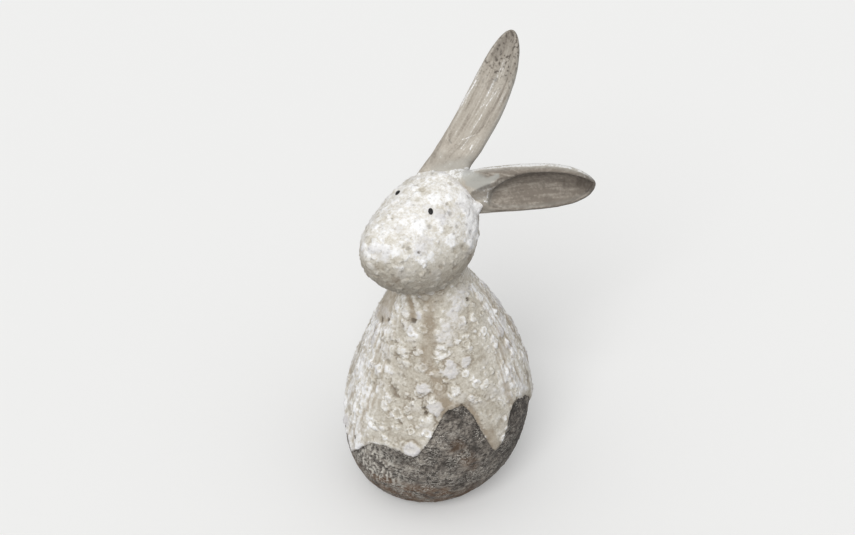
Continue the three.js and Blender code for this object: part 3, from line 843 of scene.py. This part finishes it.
# The web is wiped smooth, and stays a plain cool grey, like the outer sides of both ears
wiped = 0.5 * (1 - ease(both_near, 1.2, 4.0)) * ease(out, 0, 2)
wiped = np.maximum(wiped, 0.4 * (1 - ease(forward - 0.3 * is_left, 0.15, 0.5)))
for line, half_width in EAR_WIPED:
    wiped = np.maximum(wiped, stroke(swayed, line, half_width) * near_side)
rise = (0.10 * ear_lumps + 0.05 * brush * streaked) * (1 - 0.8 * wiped)
write_points(ears.data, points + ways * rise[:, None])
paint(ears.data, "brushed", pale, in_dish * (0.25 + 0.75 * is_left), dark, wiped)
smooth(ears.data)

EAR_BROWN = "#8A8176"
EAR_TAUPE = "#B6AEA2"
EAR_PALE = "#C5BFB4"
EAR_STROKE = "#DAD5CB"
EAR_SHADOW_AND_DARK = "#4E463E"
EAR_WEB = "#B0B0AA"
EAR_DISH = "#7E756B"
EAR_PORE = 0.8

# Stoneware brushed with thin slip: matt taupe with fine lengthwise streaks, pores and dark tips
# Its dark marks also carry painted shadow under the side ear's upper rim and at the roots, and painted light
# on the side ear's upward faces
brushed_clay, tree = material("slip_brushed_stoneware")
place = add(tree, "TexCoord").outputs["Object"]
pale_mark, dish_mark, shadow_and_dark_mark, wiped_mark = painted(tree, "brushed")
pores = add(tree, "TexNoise", {"Vector": place, "Scale": 1 / (EAR_PORE * MM), "Detail": 4, "Roughness": 0.7})
mottle = add(tree, "Math", {0: pores, 1: 0.9, 2: -0.45}, operation="MULTIPLY_ADD")
level = add(tree, "Math", {0: pale_mark, 1: mottle}, operation="ADD")
ear_tint = add(
    tree, "ValToRGB", {"Fac": level},
    stops=[(0.1, EAR_BROWN), (0.5, EAR_TAUPE), (0.8, EAR_PALE), (1.0, EAR_STROKE)],
)
ear_layers = [(dish_mark, 0.4, EAR_DISH), (wiped_mark, 0.8, EAR_WEB), (shadow_and_dark_mark, 0.85, EAR_SHADOW_AND_DARK)]
ear_paint = laid_over(tree, ear_tint, ear_layers)
rough = add(tree, "Bump", {"Height": pores, "Strength": 0.5, "Distance": 0.2 * MM})
skin = add(tree, "BsdfPrincipled", {"Base Color": ear_paint, "Roughness": 0.8, "Normal": rough})
add(tree, "OutputMaterial", {"Surface": skin})

cut_away(ears, piece_of("head_egg", mesh_from(balloon(EGG_SIDES, HEAD_LEVELS, head_place))))
dress(ears.data, brushed_clay)
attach(ears, "root")
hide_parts("right_ear", "left_ear", "front_web", "back_web")


# Glaze: one thick chalky skin poured over head, neck and belly, which boiled in the kiln.
# Burst bubbles left rings, blobs and pinholes in it, and it ran down in tongues to a rolled lower edge.
GLAZE_OUT = 1.2
GLAZE_IN = 0.15
GLAZE_STEP = 0.55
CORE_SHARE = 0.08
BODY_LEVELS = 90
CRUST_PASSES = 6
CORNER_LOWEST = 60.0
CORNER_SEARCHES = 24
CORNER_REACH = 10
CORNER_PASSES = 130


def body_place(level, turn):
    """The body's outside from foot to throat; the two end levels are the middles of its flat ends."""
    first, final = 1 / BODY_LEVELS, 1 - 1 / BODY_LEVELS
    share = min(max((level - first) / (final - first), 0), 1)
    height, radius, back = body_line[int(round(share * LINE_POINTS))]
    if level < first / 2 or level > 1 - first / 2:
        radius = 0
    return Vector((radius * math.cos(turn), back + radius * math.sin(turn), height))


def nearest(spots):
    """A finder of the nearest of some spots."""
    tree = kdtree.KDTree(len(spots))
    for k, spot in enumerate(spots):
        tree.insert(spot, k)
    tree.balance()
    return tree


def on_clay(turn, height):
    """The spot on the clay body at an angle and a height."""
    spread = Vector((math.sin(math.radians(turn)), -math.cos(math.radians(turn)), 0))
    return Vector((0, float(body_back(height)), height)) + spread * float(body_radius(height))


forms = (balloon(EGG_SIDES, BODY_LEVELS, body_place), balloon(EGG_SIDES, HEAD_LEVELS, head_place))
glaze_coat = skinned("glaze_crust", mesh_from(*forms), GLAZE_STEP)
glaze_mesh = glaze_coat.data
soften(glaze_mesh, 1, CRUST_PASSES)

# The slip in the corner between neck and head is smoothed off before the glaze goes on
corner = []
for turn in range(0, 360, 3):
    low, high = CORNER_LOWEST, STATIONS[-1][0]
    for _ in range(CORNER_SEARCHES):
        middle = (low + high) / 2
        spot = on_clay(turn, middle)
        low, high = (low, middle) if inside_head(spot) else (middle, high)
    corner.append(spot)
corner_finder = nearest(corner)
points, _ = read_points(glaze_mesh)
off_corner = np.array([corner_finder.find(p)[2] for p in points])
soften(glaze_mesh, 1 - ease(off_corner, CORNER_REACH * 0.45, CORNER_REACH), CORNER_PASSES)

core = piece_of("core", glaze_mesh.copy())
thin = core.modifiers.new("thin", "DECIMATE")
thin.ratio = CORE_SHARE
settle(core)
points, ways = read_points(core.data)
write_points(core.data, points + GLAZE_IN * ways)

# Lower edge of the glaze: pixels where the picture shows it, and elsewhere angles with heights
HEM_SEEN = [
    (354, 452), (360, 450), (366.5, 446), (372.5, 444), (386.5, 446), (396, 450), (403, 453.5), (410, 456.5),
    (416, 457), (421, 453), (427, 445), (431.5, 438), (435.5, 431), (440, 423), (443.5, 415.5), (447, 411.5),
    (453, 409.5), (459.5, 407), (466, 408.5), (472, 416), (477, 424), (481.5, 433), (486, 441), (492, 450),
    (495, 452), (499, 447), (503, 439), (506, 429), (508.5, 414), (511, 407), (514, 403), (519, 399),
    (524, 396), (527.5, 397),
]
HEM_HIDDEN = [(-175, 52), (-145, 33), (-120, 42), (-100, 40), (-62, 52), (112, 47), (135, 30), (160, 46)]
HEM_LIP_RISE = 0.5
HEM_WOBBLE = 0.25
HEM_STEP = 0.5
HEM_SEEN_ROUNDING = 2.5
HEM_HIDDEN_ROUNDING = 14
HEM_HIDDEN_FROM = 15

surface = bvhtree.BVHTree.FromObject(glaze_coat, bpy.context.evaluated_depsgraph_get())
hem_spots = np.array([spot_seen(surface, x, y) for x, y in HEM_SEEN])
spot_turns = turns_of(hem_spots)
hem_marks = sorted(list(zip(spot_turns, hem_spots[:, 2] + HEM_LIP_RISE)) + HEM_HIDDEN)
hem_turns = np.arange(-180, 180, HEM_STEP)
hem_cornered = np.interp(hem_turns, *zip(*hem_marks), period=360)


def rounded(heights, width):
    """Rounds off the corners of a line round the belly, over about that many steps to each side."""
    reach = int(2.4 * width)
    blend = hump(np.arange(-reach, reach + 1), 0, width)
    closed = np.concatenate([heights[-reach:], heights, heights[:reach]])
    return np.convolve(closed, blend / blend.sum(), "valid")


# Behind, where nothing is seen, the hem swings in rounder tongues
past_spots = np.maximum(spot_turns.min() - hem_turns, hem_turns - spot_turns.max())
hidden = ease(past_spots, 0, HEM_HIDDEN_FROM)
hem_heights = rounded(hem_cornered, HEM_SEEN_ROUNDING) * (1 - hidden)
hem_heights += rounded(hem_cornered, HEM_HIDDEN_ROUNDING) * hidden
hem_round = np.stack([np.sin(np.radians(hem_turns)), np.cos(np.radians(hem_turns)), 0 * hem_turns], axis=1)
hem_round *= BELLY_RADIUS
hem_heights += HEM_WOBBLE * (grain(hem_round, 3.0, 3) + 0.8 * grain(hem_round, 1.1, 2, 9.0))
hem_finder = nearest([on_clay(turn, height) for turn, height in zip(hem_turns, hem_heights)])

points, ways = read_points(glaze_mesh)
turns = turns_of(points)
hem_gap = np.array([hem_finder.find(p)[2] for p in points])
hem_gap *= np.sign(points[:, 2] - np.interp(turns, hem_turns, hem_heights, period=360))

# Where each point is: on the head, in the picture, and near an ear or an eye
off_ears = np.minimum(
    leaf_gap(RIGHT_EAR, ear_marks(RIGHT_EAR, points)), leaf_gap(LEFT_EAR, ear_marks(LEFT_EAR, points)),
)
on_head = ease(points[:, 2], 100, 112) * ease(off_corner, 1, 9)
eye_boxes = [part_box(name) for name in ("right_eye", "left_eye")]
off_eyes = np.min([np.linalg.norm(points - (low + high) / 2 / MM, axis=1) for low, high in eye_boxes], axis=0)
picture_place = in_picture(points)
near_side = facing_camera(points, ways)
wave = 1.6 * np.stack([grain(points, 3.0, 2, 61.0), grain(points, 3.0, 2, 83.0)])
waved = (picture_place[0] + wave[0], picture_place[1] + wave[1])
on_front = near_side * (1 - on_head)

# The ground of the crust, and the streaks where it ran down the flanks, to both sides of the breast
STREAK_RADIUS = 35
STREAK_SIZE = (1.7, 1.7, 20.0)
BREAST_TURN = 46
turned = np.radians(turns)
around = np.stack([STREAK_RADIUS * np.sin(turned), STREAK_RADIUS * np.cos(turned), points[:, 2]], axis=1)
patch = grain(points, 9.0, 3, 5.0)
fine = grain(points, 2.2, 3, 25.0)
sand = grain(points, 0.9, 2, 70.0)
streak = grain(around + 0.8 * grain(points, 4.0, 2, 99.0)[:, None], STREAK_SIZE, 3, 11.0)
bend = grain(points, 30.0, 2, 44.0)
streaky = 1 - ease(np.cos(np.radians(turns - BREAST_TURN)) + 0.25 * bend, 0.6, 0.85)
streaky *= np.where(np.abs(turns - BREAST_TURN) > 100, ease(bend, -0.5, 0.4), 1) * (1 - on_head)
runs = 0.9 * ease(streak, 0.0, 0.5) * streaky
rise = 0.12 * patch + 0.1 * fine + 0.08 * sand - 0.14 * runs
white = 0.38 + 0.25 * patch + 0.18 * fine + streaky * (0.2 + 0.16 * ease(-streak, 0.0, 0.35))
white = white * (1 - on_head) + on_head * (0.79 + 0.05 * patch + 0.09 * fine)
# Painted shade: the head is made less white where it faces down, under the chin and the cheeks
white -= 0.56 * on_head * ease(-ways[:, 2], -0.6, 0.4)
cool = 0.5 * ease(grain(points, 7.0, 2, 91.0), 0.1, 0.5)
pits = np.zeros(len(points))
sandy = grain(points, 6.0, 2, 137.0) + 0.5 * ease(points[:, 2], 118, 132)

# Painted light: the crust is made whiter where light falls brightest. In the picture: pixels, how wide and
# how strong each place is
PAINTED_LIGHT_PLACES = [
    ([(384, 318), (373, 345), (364, 375), (360, 400), (362, 430)], 13, 0.14),
    ([(384, 318), (375, 338)], 12, 0.16), ([(467, 200), (475, 222), (473, 242)], 10, 0.4),
    ([(478, 290), (497, 325)], 8, 0.12), ([(493, 318), (510, 350), (518, 380)], 10, 0.08),
]
for line, half_width, strength in PAINTED_LIGHT_PLACES:
    white += strength * stroke(picture_place, line, half_width) * near_side
# Where the crust is thin and tan: the course down the breast, the drips under the chin and parts of the hem
COURSE = ([(429, 322), (430, 331.5), (427, 345), (427, 358), (435.5, 376), (444, 399), (445, 412)], 6.5)
THIN_PLACES = [
    ([(392, 291), (389, 302), (386, 312), (384.5, 319)], 4.6, 0.85),
    ([(396, 292), (394, 307), (390.5, 319)], 2.2, 0.7), ([(411, 293), (413, 307), (415, 319)], 3.0, 0.95),
    ([(425, 292), (431, 302), (429, 314), (431, 325)], 5.5, 0.55), ([(441, 288), (437, 300)], 5.0, 0.35),
    ([(445, 401), (453, 406), (462, 407), (470, 412), (476, 421)], 4.0, 0.75),
    ([(489, 432), (493, 441), (495.5, 450)], 5.0, 0.6),
]
course = stroke(waved, *COURSE) * on_front
thin_runs = np.zeros(len(points))
for line, half_width, strength in THIN_PLACES:
    thin_runs = np.maximum(thin_runs, strength * stroke(waved, line, half_width) * on_front)
runs = np.maximum(runs, np.maximum(thin_runs, 0.55 * course))
rise -= 0.15 * course
white -= 0.25 * course


def cells(size, shift):
    """Scattered cells that far apart: how far each point is from its cell's middle, in cells, and two
    random values of that cell."""
    found = [noise.voronoi(Vector(p)) for p in warped / size + shift]
    away = np.array([f[0][0] for f in found])
    middles = np.array([list(f[1][0]) for f in found])
    mixed = np.sin(middles @ np.array([[12.9898, 39.346], [78.233, 11.135], [37.719, 83.155]])) * 4375.85
    chance = mixed - np.floor(mixed)
    return away, chance[:, 0], chance[:, 1]


# The crust is cobbled all over with small burst bubbles: their size, how many there are on the body and on
# the head, how high they stand and how pale they are
COBBLES = [(1.45, 0.5, 0.4, 0.16, 0.1), (2.5, 0.55, 0.35, 0.26, 0.2), (4.4, 0.6, 0.25, 0.34, 0.3)]
CELL_WARP = 0.6
CELL_WARP_SIZE = 1.7
CELL_DRAWN_OUT = 0.4
CELL_SEED = 7
noise.seed_set(CELL_SEED)
warp = np.array([list(noise.noise_vector(Vector(p) / CELL_WARP_SIZE)) for p in points])
warped = points + CELL_WARP * warp
warped[:, 2] *= np.where(streaky > 0.5, CELL_DRAWN_OUT, 1.0)
open_share = (1 - 0.45 * course) * (1 - 0.35 * streaky) * (1 - 0.8 * thin_runs)
for k, (size, on_body_share, on_head_share, height, paleness) in enumerate(COBBLES):
    away, chance, pick = cells(size, 7.0 + 31 * k)
    radius = 0.3 + 0.22 * pick
    share = away / radius
    there = chance < open_share * (on_body_share * (1 - on_head) + on_head_share * on_head)
    body = there * (1 - ease(share, 0.72, 1.0))
    rim = there * hump(share, 0.8, 0.2)
    heart = there * hump(share, 0, 0.42) * (pick > 0.45)
    # Painted shade: a thin crease just round each bubble is sunk and made less white
    crease = there * hump(share, 1.12, 0.12)
    rise += 1.25 * height * (body - 0.55 * heart) - 0.16 * crease
    white += paleness * (0.95 * body + 0.6 * rim - 1.0 * heart - 0.6 * crease) * (1 - 0.65 * on_head)
    cool += 0.25 * body * (np.modf(7 * chance)[0] < 0.3)

# Small brown pores, which crowd together in places
PORE_SPACING = 1.25
away, chance, pick = cells(PORE_SPACING, 211.0)
pore = chance < (0.08 + 0.2 * ease(patch, 0.0, 0.5)) * (1 - on_head) + 0.34 * on_head * ease(sandy, -0.1, 0.4)
pore = pore * (1 - ease(away / (0.25 + 0.2 * pick), 0.4, 1.1))
pits = np.maximum(pits, (0.16 + 0.16 * on_head) * pore)
rise -= 0.12 * pore

glaze_finder = nearest([Vector(p) for p in points])


def burst(middle, radius, kind):
    """Presses one burst bubble into the crust, or a like mark: its kind says which."""
    found = glaze_finder.find_range(middle, 1.5 * radius + 1.5)
    if not found:
        return
    at = np.array([f[1] for f in found])
    away = np.array([f[2] for f in found])
    shift = Vector((7, 3, radius))
    wave = np.array([noise.fractal(Vector(points[k]) / (0.7 * radius) + shift, 0.6, 2.3, 3) for k in at])
    share = away / radius * (1 + (0.12 if kind == "disc" else 0.4) * wave)
    rim = hump(share, 0.78, 0.28)
    floor = 1 - ease(share, 0.45, 0.85)
    heart = hump(share, 0, 0.34)
    body = 1 - ease(share, 0.78, 1.05)
    # Painted shade: the crease round a ring or a blob is sunk and made less white
    crease = hump(share, 1.16, 0.13)
    if kind == "ring":
        rise[at] += 0.36 * rim - 0.2 * floor + 0.12 * heart - 0.1 * crease
        white[at] = np.maximum(white[at] * (1 - 0.3 * floor), 0.78 * rim + 0.3 * heart * floor)
        white[at] += 0.08 * fine[at] * rim - 0.3 * crease
    elif kind in ("blob", "cool_blob", "disc"):
        rise[at] += 0.4 * body - 0.18 * heart - 0.1 * crease
        white[at] = np.maximum(white[at], body * (0.8 - 0.14 * heart + 0.2 * fine[at])) - 0.3 * crease
        cool[at] = np.where(body > 0.3, 0.1 if kind == "blob" else 0.85, cool[at])
    elif kind == "patch":
        rise[at] += 0.16 * body
        white[at] += 0.2 * body
    elif kind == "hollow":
        rise[at] -= 0.4 * body
        white[at] *= 1 - 0.6 * body
        pits[at] = np.maximum(pits[at], 0.2 * body + 0.25 * heart)
    elif kind == "dimple":
        rise[at] -= 0.35 * body
        white[at] -= 0.16 * body
    elif kind == "stain":
        white[at] -= 0.2 * body
    elif kind == "knob":
        rise[at] += 3.6 * np.clip(1 - share, 0, 1) ** 1.2
        white[at] = np.maximum(white[at], 0.9 * body)
    elif kind == "pore":
        rise[at] -= 0.25 * body
        pits[at] = np.maximum(pits[at], 0.4 * body)
    else:
        rise[at] -= 0.5 * body
        pits[at] = np.maximum(pits[at], 0.85 * body)


# Random bursts cover all sides; the larger ones keep clear of the breast, where the picture gives them
BURSTS_OF_BODY = 520
PORES_OF_BODY = 160
BURSTS_OF_HEAD = 360
BURST_HEIGHTS = (22, 112)
BREAST_BURST = 1.3
BURSTS_CLEAR_OF = 44
draw = random.Random(7)
for _ in range(BURSTS_OF_BODY):
    height = draw.uniform(*BURST_HEIGHTS)
    turn = draw.uniform(-180, 180)
    radius = 0.9 + 2.2 * draw.random() ** 1.8
    kind = draw.choices(["ring", "blob", "cool_blob", "hollow"], [5, 4, 2, 0.5])[0]
    breast = math.cos(math.radians(turn - BURSTS_CLEAR_OF)) > 0.55
    if draw.random() < float(body_radius(height)) / BELLY_RADIUS and not (breast and radius > BREAST_BURST):
        burst(on_clay(turn, height), radius, kind)
for _ in range(PORES_OF_BODY):
    burst(on_clay(draw.uniform(-180, 180), draw.uniform(*BURST_HEIGHTS)), draw.uniform(0.4, 0.7), "pore")
for _ in range(BURSTS_OF_HEAD):
    reach = draw.uniform(-1, 1)
    turn = draw.uniform(0, 2 * math.pi)
    rim = math.sqrt(1 - reach**2)
    radius = 0.5 + 1.5 * draw.random() ** 1.6
    kind = draw.choices(["ring", "patch", "stain", "pore"], [1, 3, 3, 1.5])[0]
    if kind in ("ring", "pore"):
        radius *= 0.5
    burst(head_point(rim * math.cos(turn), rim * math.sin(turn), reach), radius, kind)

# Marks that show in the picture: the pixel at the middle of each, its radius and its kind
BODY_BURSTS = [
    (391, 333.5, 3.5, "blob"), (397.5, 320, 2.7, "ring"), (401.5, 346.5, 3.6, "patch"),
    (404, 351, 2.6, "blob"), (377, 373.5, 4.3, "ring"), (378, 368, 2.0, "patch"), (392, 369, 2.4, "patch"),
    (386.5, 405.5, 2.4, "blob"), (399, 412.5, 2.6, "ring"), (366, 422.5, 1.5, "ring"),
    (412.7, 448.3, 3.7, "disc"), (441, 351, 3.1, "blob"), (450.5, 370.5, 3.2, "cool_blob"),
    (449, 363, 1.7, "cool_blob"), (423.5, 388, 2.6, "cool_blob"), (424, 366.5, 1.8, "ring"),
    (439, 386, 1.5, "ring"), (465, 361, 2.3, "cool_blob"), (435.5, 406.5, 3.1, "cool_blob"),
    (432, 400, 1.6, "blob"), (451.5, 406.5, 1.8, "blob"), (503, 375, 3.2, "patch"), (476, 398.5, 1.3, "ring"),
    (455, 390, 2.2, "blob"), (465, 343, 1.7, "ring"), (456, 341, 1.4, "blob"), (424, 328.5, 1.8, "ring"),
    (413, 334, 3.2, "patch"), (420.5, 310, 2.2, "patch"), (418, 304, 1.4, "blob"), (432, 372.5, 0.9, "blob"),
    (422, 351, 0.9, "blob"), (390, 395, 1.6, "blob"), (369.5, 394.5, 1.7, "patch"),
    (418.5, 404, 2.6, "patch"), (427, 419.5, 2.2, "patch"), (494, 418, 2.6, "patch"),
    (480, 334, 2.4, "patch"), (460.5, 325.5, 1.5, "ring"), (484.5, 307.5, 1.6, "patch"),
    (464, 303, 1.8, "patch"), (406, 297, 2.0, "blob"), (407, 305, 2.0, "blob"), (407.5, 313, 1.9, "blob"),
    (412, 430, 1.6, "ring"), (396, 428, 1.7, "patch"), (400, 424, 1.2, "ring"), (395.5, 388, 2.2, "hollow"),
    (396.5, 394, 1.4, "hollow"), (415, 320, 1.2, "pinhole"), (384.5, 320, 1.3, "pinhole"),
    (390.5, 320, 0.9, "pinhole"), (425, 407, 0.9, "pinhole"), (426.5, 412, 0.9, "pinhole"),
    (357, 436.5, 0.9, "pinhole"), (461, 405.5, 1.0, "pinhole"), (466, 299.5, 0.9, "pinhole"),
    (401, 421, 0.8, "hollow"),
]
HEAD_BURSTS = [
    (418.5, 202, 0.9, "ring"), (433.7, 229.4, 1.1, "stain"), (463.4, 201.5, 1.3, "stain"),
    (460, 215.7, 0.8, "dimple"), (418, 252, 0.6, "pinhole"), (392.5, 220.5, 0.4, "pinhole"),
    (407.7, 183.6, 1.5, "stain"), (413, 184, 1.4, "stain"), (423.8, 174.2, 1.5, "stain"),
    (448.3, 207.2, 1.6, "stain"), (385, 220.4, 1.4, "stain"), (379, 219, 1.1, "stain"),
    (429.4, 194, 1.0, "stain"), (431.3, 182.7, 1.3, "stain"), (406, 193, 1.2, "stain"),
    (434, 200.6, 2.6, "patch"), (418, 227, 3.2, "patch"), (439.8, 221, 2.2, "patch"),
    (381, 252, 3.2, "patch"), (449, 240, 2.4, "patch"), (430, 256, 2.0, "patch"), (400, 238, 1.6, "stain"),
    (406, 245, 1.6, "stain"), (409, 250, 1.2, "stain"), (461, 247, 1.1, "dimple"), (453, 250, 0.9, "dimple"),
    (428, 271, 0.9, "dimple"), (440, 265, 1.1, "dimple"), (453.5, 266, 1.2, "dimple"),
    (455.5, 285, 1.2, "dimple"), (372, 242, 0.8, "dimple"),
]
KNOB = (476.2, 206.0, 3.3, "knob")
TONGUE = ([(459.5, 290), (455, 303), (451, 317.5), (446.5, 330), (444, 340)], 7.5)
# Cracks and laps between the bubbles, sunk and darkened with painted shade
CREASES = [
    [(396.8, 353.7), (402.9, 354.5), (411.3, 352.2), (415.9, 347.6)],
    [(392.2, 377.4), (394.5, 385.1), (397.5, 394.3), (399.8, 395)],
    [(406, 398.1), (415.9, 398.9), (422.8, 397.3), (429.7, 391.2)],
    [(423.6, 398.1), (423.6, 407.3), (426.6, 415)], [(417.4, 394.3), (423.6, 392.7)],
    [(434.3, 414.2), (436.6, 421.8), (433.5, 428)], [(373, 382.8), (380, 379), (383, 372.8)],
    [(443.5, 379), (446.5, 385), (445.7, 391.2)], [(435, 347.6), (446.5, 349.9), (448.8, 353)],
    [(399, 421.8), (402, 422.6)], [(392, 341), (400, 342)], [(386, 352), (388, 360)],
]

waved = (waved[0] + 2.5 * fine, waved[1] + 2.5 * sand)
tongue = stroke(waved, *TONGUE) * on_front * (1 - 0.5 * ease(sand, 0.05, 0.4))
rise += 0.22 * tongue
white = np.maximum(white, 0.78 * tongue + 0.2 * fine)
cool = np.maximum(cool, 0.65 * tongue)
for x, y, radius, kind in BODY_BURSTS + HEAD_BURSTS + [KNOB]:
    burst(spot_seen(surface, x, y), radius, kind)
# Painted shade: the cracks are sunk, made less white and given the pit colour
crack = np.max([stroke(waved, line, 1.1) for line in CREASES], axis=0) * on_front
rise -= 0.4 * crack
white -= 0.4 * crack + 0.25 * thin_runs
pits = np.maximum(pits, 0.25 * crack)

# Round the ears the glaze stands in a ragged collar, in the corner under the head it is thin and brown,
# and darkened with painted shade, and round the eyes it is flat
COLLAR = (0.4, 2.4)
CORNER_WIDTH = 4.2
EYE_FLAT = (1.8, 3.0)
collar = (1 - ease(off_ears, *COLLAR)) * on_head
rise += collar * (0.25 + 0.15 * fine)
white = np.maximum(white, 0.74 * collar)
# Painted shade in the corner under the head, over its thin brown glaze
corner_thin_and_shade = hump(off_corner, 0, CORNER_WIDTH) * (0.6 + 0.6 * fine)
white -= 0.06 * corner_thin_and_shade
runs = np.maximum(runs, 0.3 * corner_thin_and_shade)
flat = 1 - ease(off_eyes, *EYE_FLAT)
rise = rise * (1 - flat)
white = white * (1 - 0.4 * flat) + 0.32 * flat
pits *= 1 - flat

# The lower edge is a rolled lip, but thin and feathered over the arch and round the two lobes beside it
HEM_ROLL = 0.5
HEM_LIP = 1.3
THINNEST = 0.35
HEM_THIN = [(438, 420), (447, 408), (462, 405), (476, 421), (494, 450), (506, 430), (512, 403), (532, 397)]
feathered = stroke(picture_place, HEM_THIN, 11) * facing_camera(points, ways, -0.5)
lip = np.sqrt(np.clip(1 - (1 - np.clip(hem_gap / (HEM_LIP + 2.2 * feathered), 0, 1)) ** 2, 0, 1))
roll = HEM_ROLL * hump(hem_gap, 1.6, 1.3) * (1 - feathered)
white += 0.3 * hump(hem_gap, 1.2, 0.9) * (1 - feathered)
white -= 0.25 * feathered * (1 - ease(hem_gap, 0.3, 2.5))
thick = lip * np.maximum(GLAZE_OUT + rise + roll, THINNEST)
thick = np.where(hem_gap > 0, np.maximum(thick, 0.02), np.maximum(-1.0, 0.9 * hem_gap))
write_points(glaze_mesh, points + ways * thick[:, None])
paint(glaze_mesh, "crust", white, pits, runs, cool)
smooth(glaze_mesh)
cut_away(glaze_coat, core)

CRUST_TAN = "#9E9282"
CRUST_SAND = "#C1BAAC"
CRUST_CREAM = "#DDD8CD"
CRUST_WHITE = "#E8E5DD"
CRUST_COOL = "#D3D0CF"
CRUST_PIT = "#5F5447"
CRUST_RUN = "#A79883"
CRUST_SPECKLE = 0.75
CRUST_GRAIN = 1.2

# Crater glaze, boiled in the firing: chalky and dull, cream over tan, with cool white bubbles
# Its whiteness also carries painted shade under the head, in the creases and the corner, and painted light
# where light falls brightest
crater_glaze, tree = material("boiled_crater_glaze")
place = add(tree, "TexCoord").outputs["Object"]
white_mark, pit_mark, run_mark, cool_mark = painted(tree, "crust")
speckle = add(
    tree, "TexNoise", {"Vector": place, "Scale": 1 / (CRUST_SPECKLE * MM), "Detail": 4, "Roughness": 0.75},
)
grains = add(tree, "TexVoronoi", {"Vector": place, "Scale": 1 / (CRUST_GRAIN * MM)})
mottle = add(tree, "Math", {0: speckle, 1: 0.85, 2: -0.31}, operation="MULTIPLY_ADD")
grainy = add(tree, "Math", {0: grains.outputs["Distance"], 1: -0.22, 2: mottle}, operation="MULTIPLY_ADD")
whiteness = add(tree, "Math", {0: white_mark, 1: grainy}, operation="ADD")
crust_tint = add(
    tree, "ValToRGB", {"Fac": whiteness},
    stops=[(0.0, CRUST_TAN), (0.32, CRUST_SAND), (0.66, CRUST_CREAM), (1.0, CRUST_WHITE)],
)
cool_share = add(tree, "Math", {0: cool_mark, 1: white_mark}, operation="MULTIPLY")
crust_layers = [(cool_share, 1, CRUST_COOL), (run_mark, 0.65, CRUST_RUN), (pit_mark, 1, CRUST_PIT)]
crust_paint = laid_over(tree, crust_tint, crust_layers)
chalk = add(tree, "Bump", {"Height": grainy, "Strength": 0.7, "Distance": 0.4 * MM})
skin = add(tree, "BsdfPrincipled", {"Base Color": crust_paint, "Roughness": 0.8, "Normal": chalk})
add(tree, "OutputMaterial", {"Surface": skin})

dress(glaze_coat.data, crater_glaze)
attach(glaze_coat, "root")
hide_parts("glaze_coat")


# Eyes: two small oval beads of black slip, pressed into the wet glaze and left matt.
# Each stands on a shank in a pocket of the clay, and its dome is a little proud of the glaze.
EYE_BLACK = "#0D0B0A"
EYE_WORN = "#211D19"
EYE_GRAIN = 0.5

# Black iron slip, fired dull: almost no shine, with a trace of brown where it is thin
black_slip, tree = material("matt_black_slip")
place = add(tree, "TexCoord").outputs["Object"]
wear = add(tree, "TexNoise", {"Vector": place, "Scale": 1 / (EYE_GRAIN * MM), "Detail": 3})
wear_tint = add(tree, "ValToRGB", {"Fac": wear}, stops=[(0.4, EYE_BLACK), (0.75, EYE_WORN)])
skin = add(tree, "BsdfPrincipled", {"Base Color": wear_tint, "Roughness": 0.6})
add(tree, "OutputMaterial", {"Surface": skin})
for name in ("right_eye", "left_eye"):
    dress(nodes[name].data, black_slip)
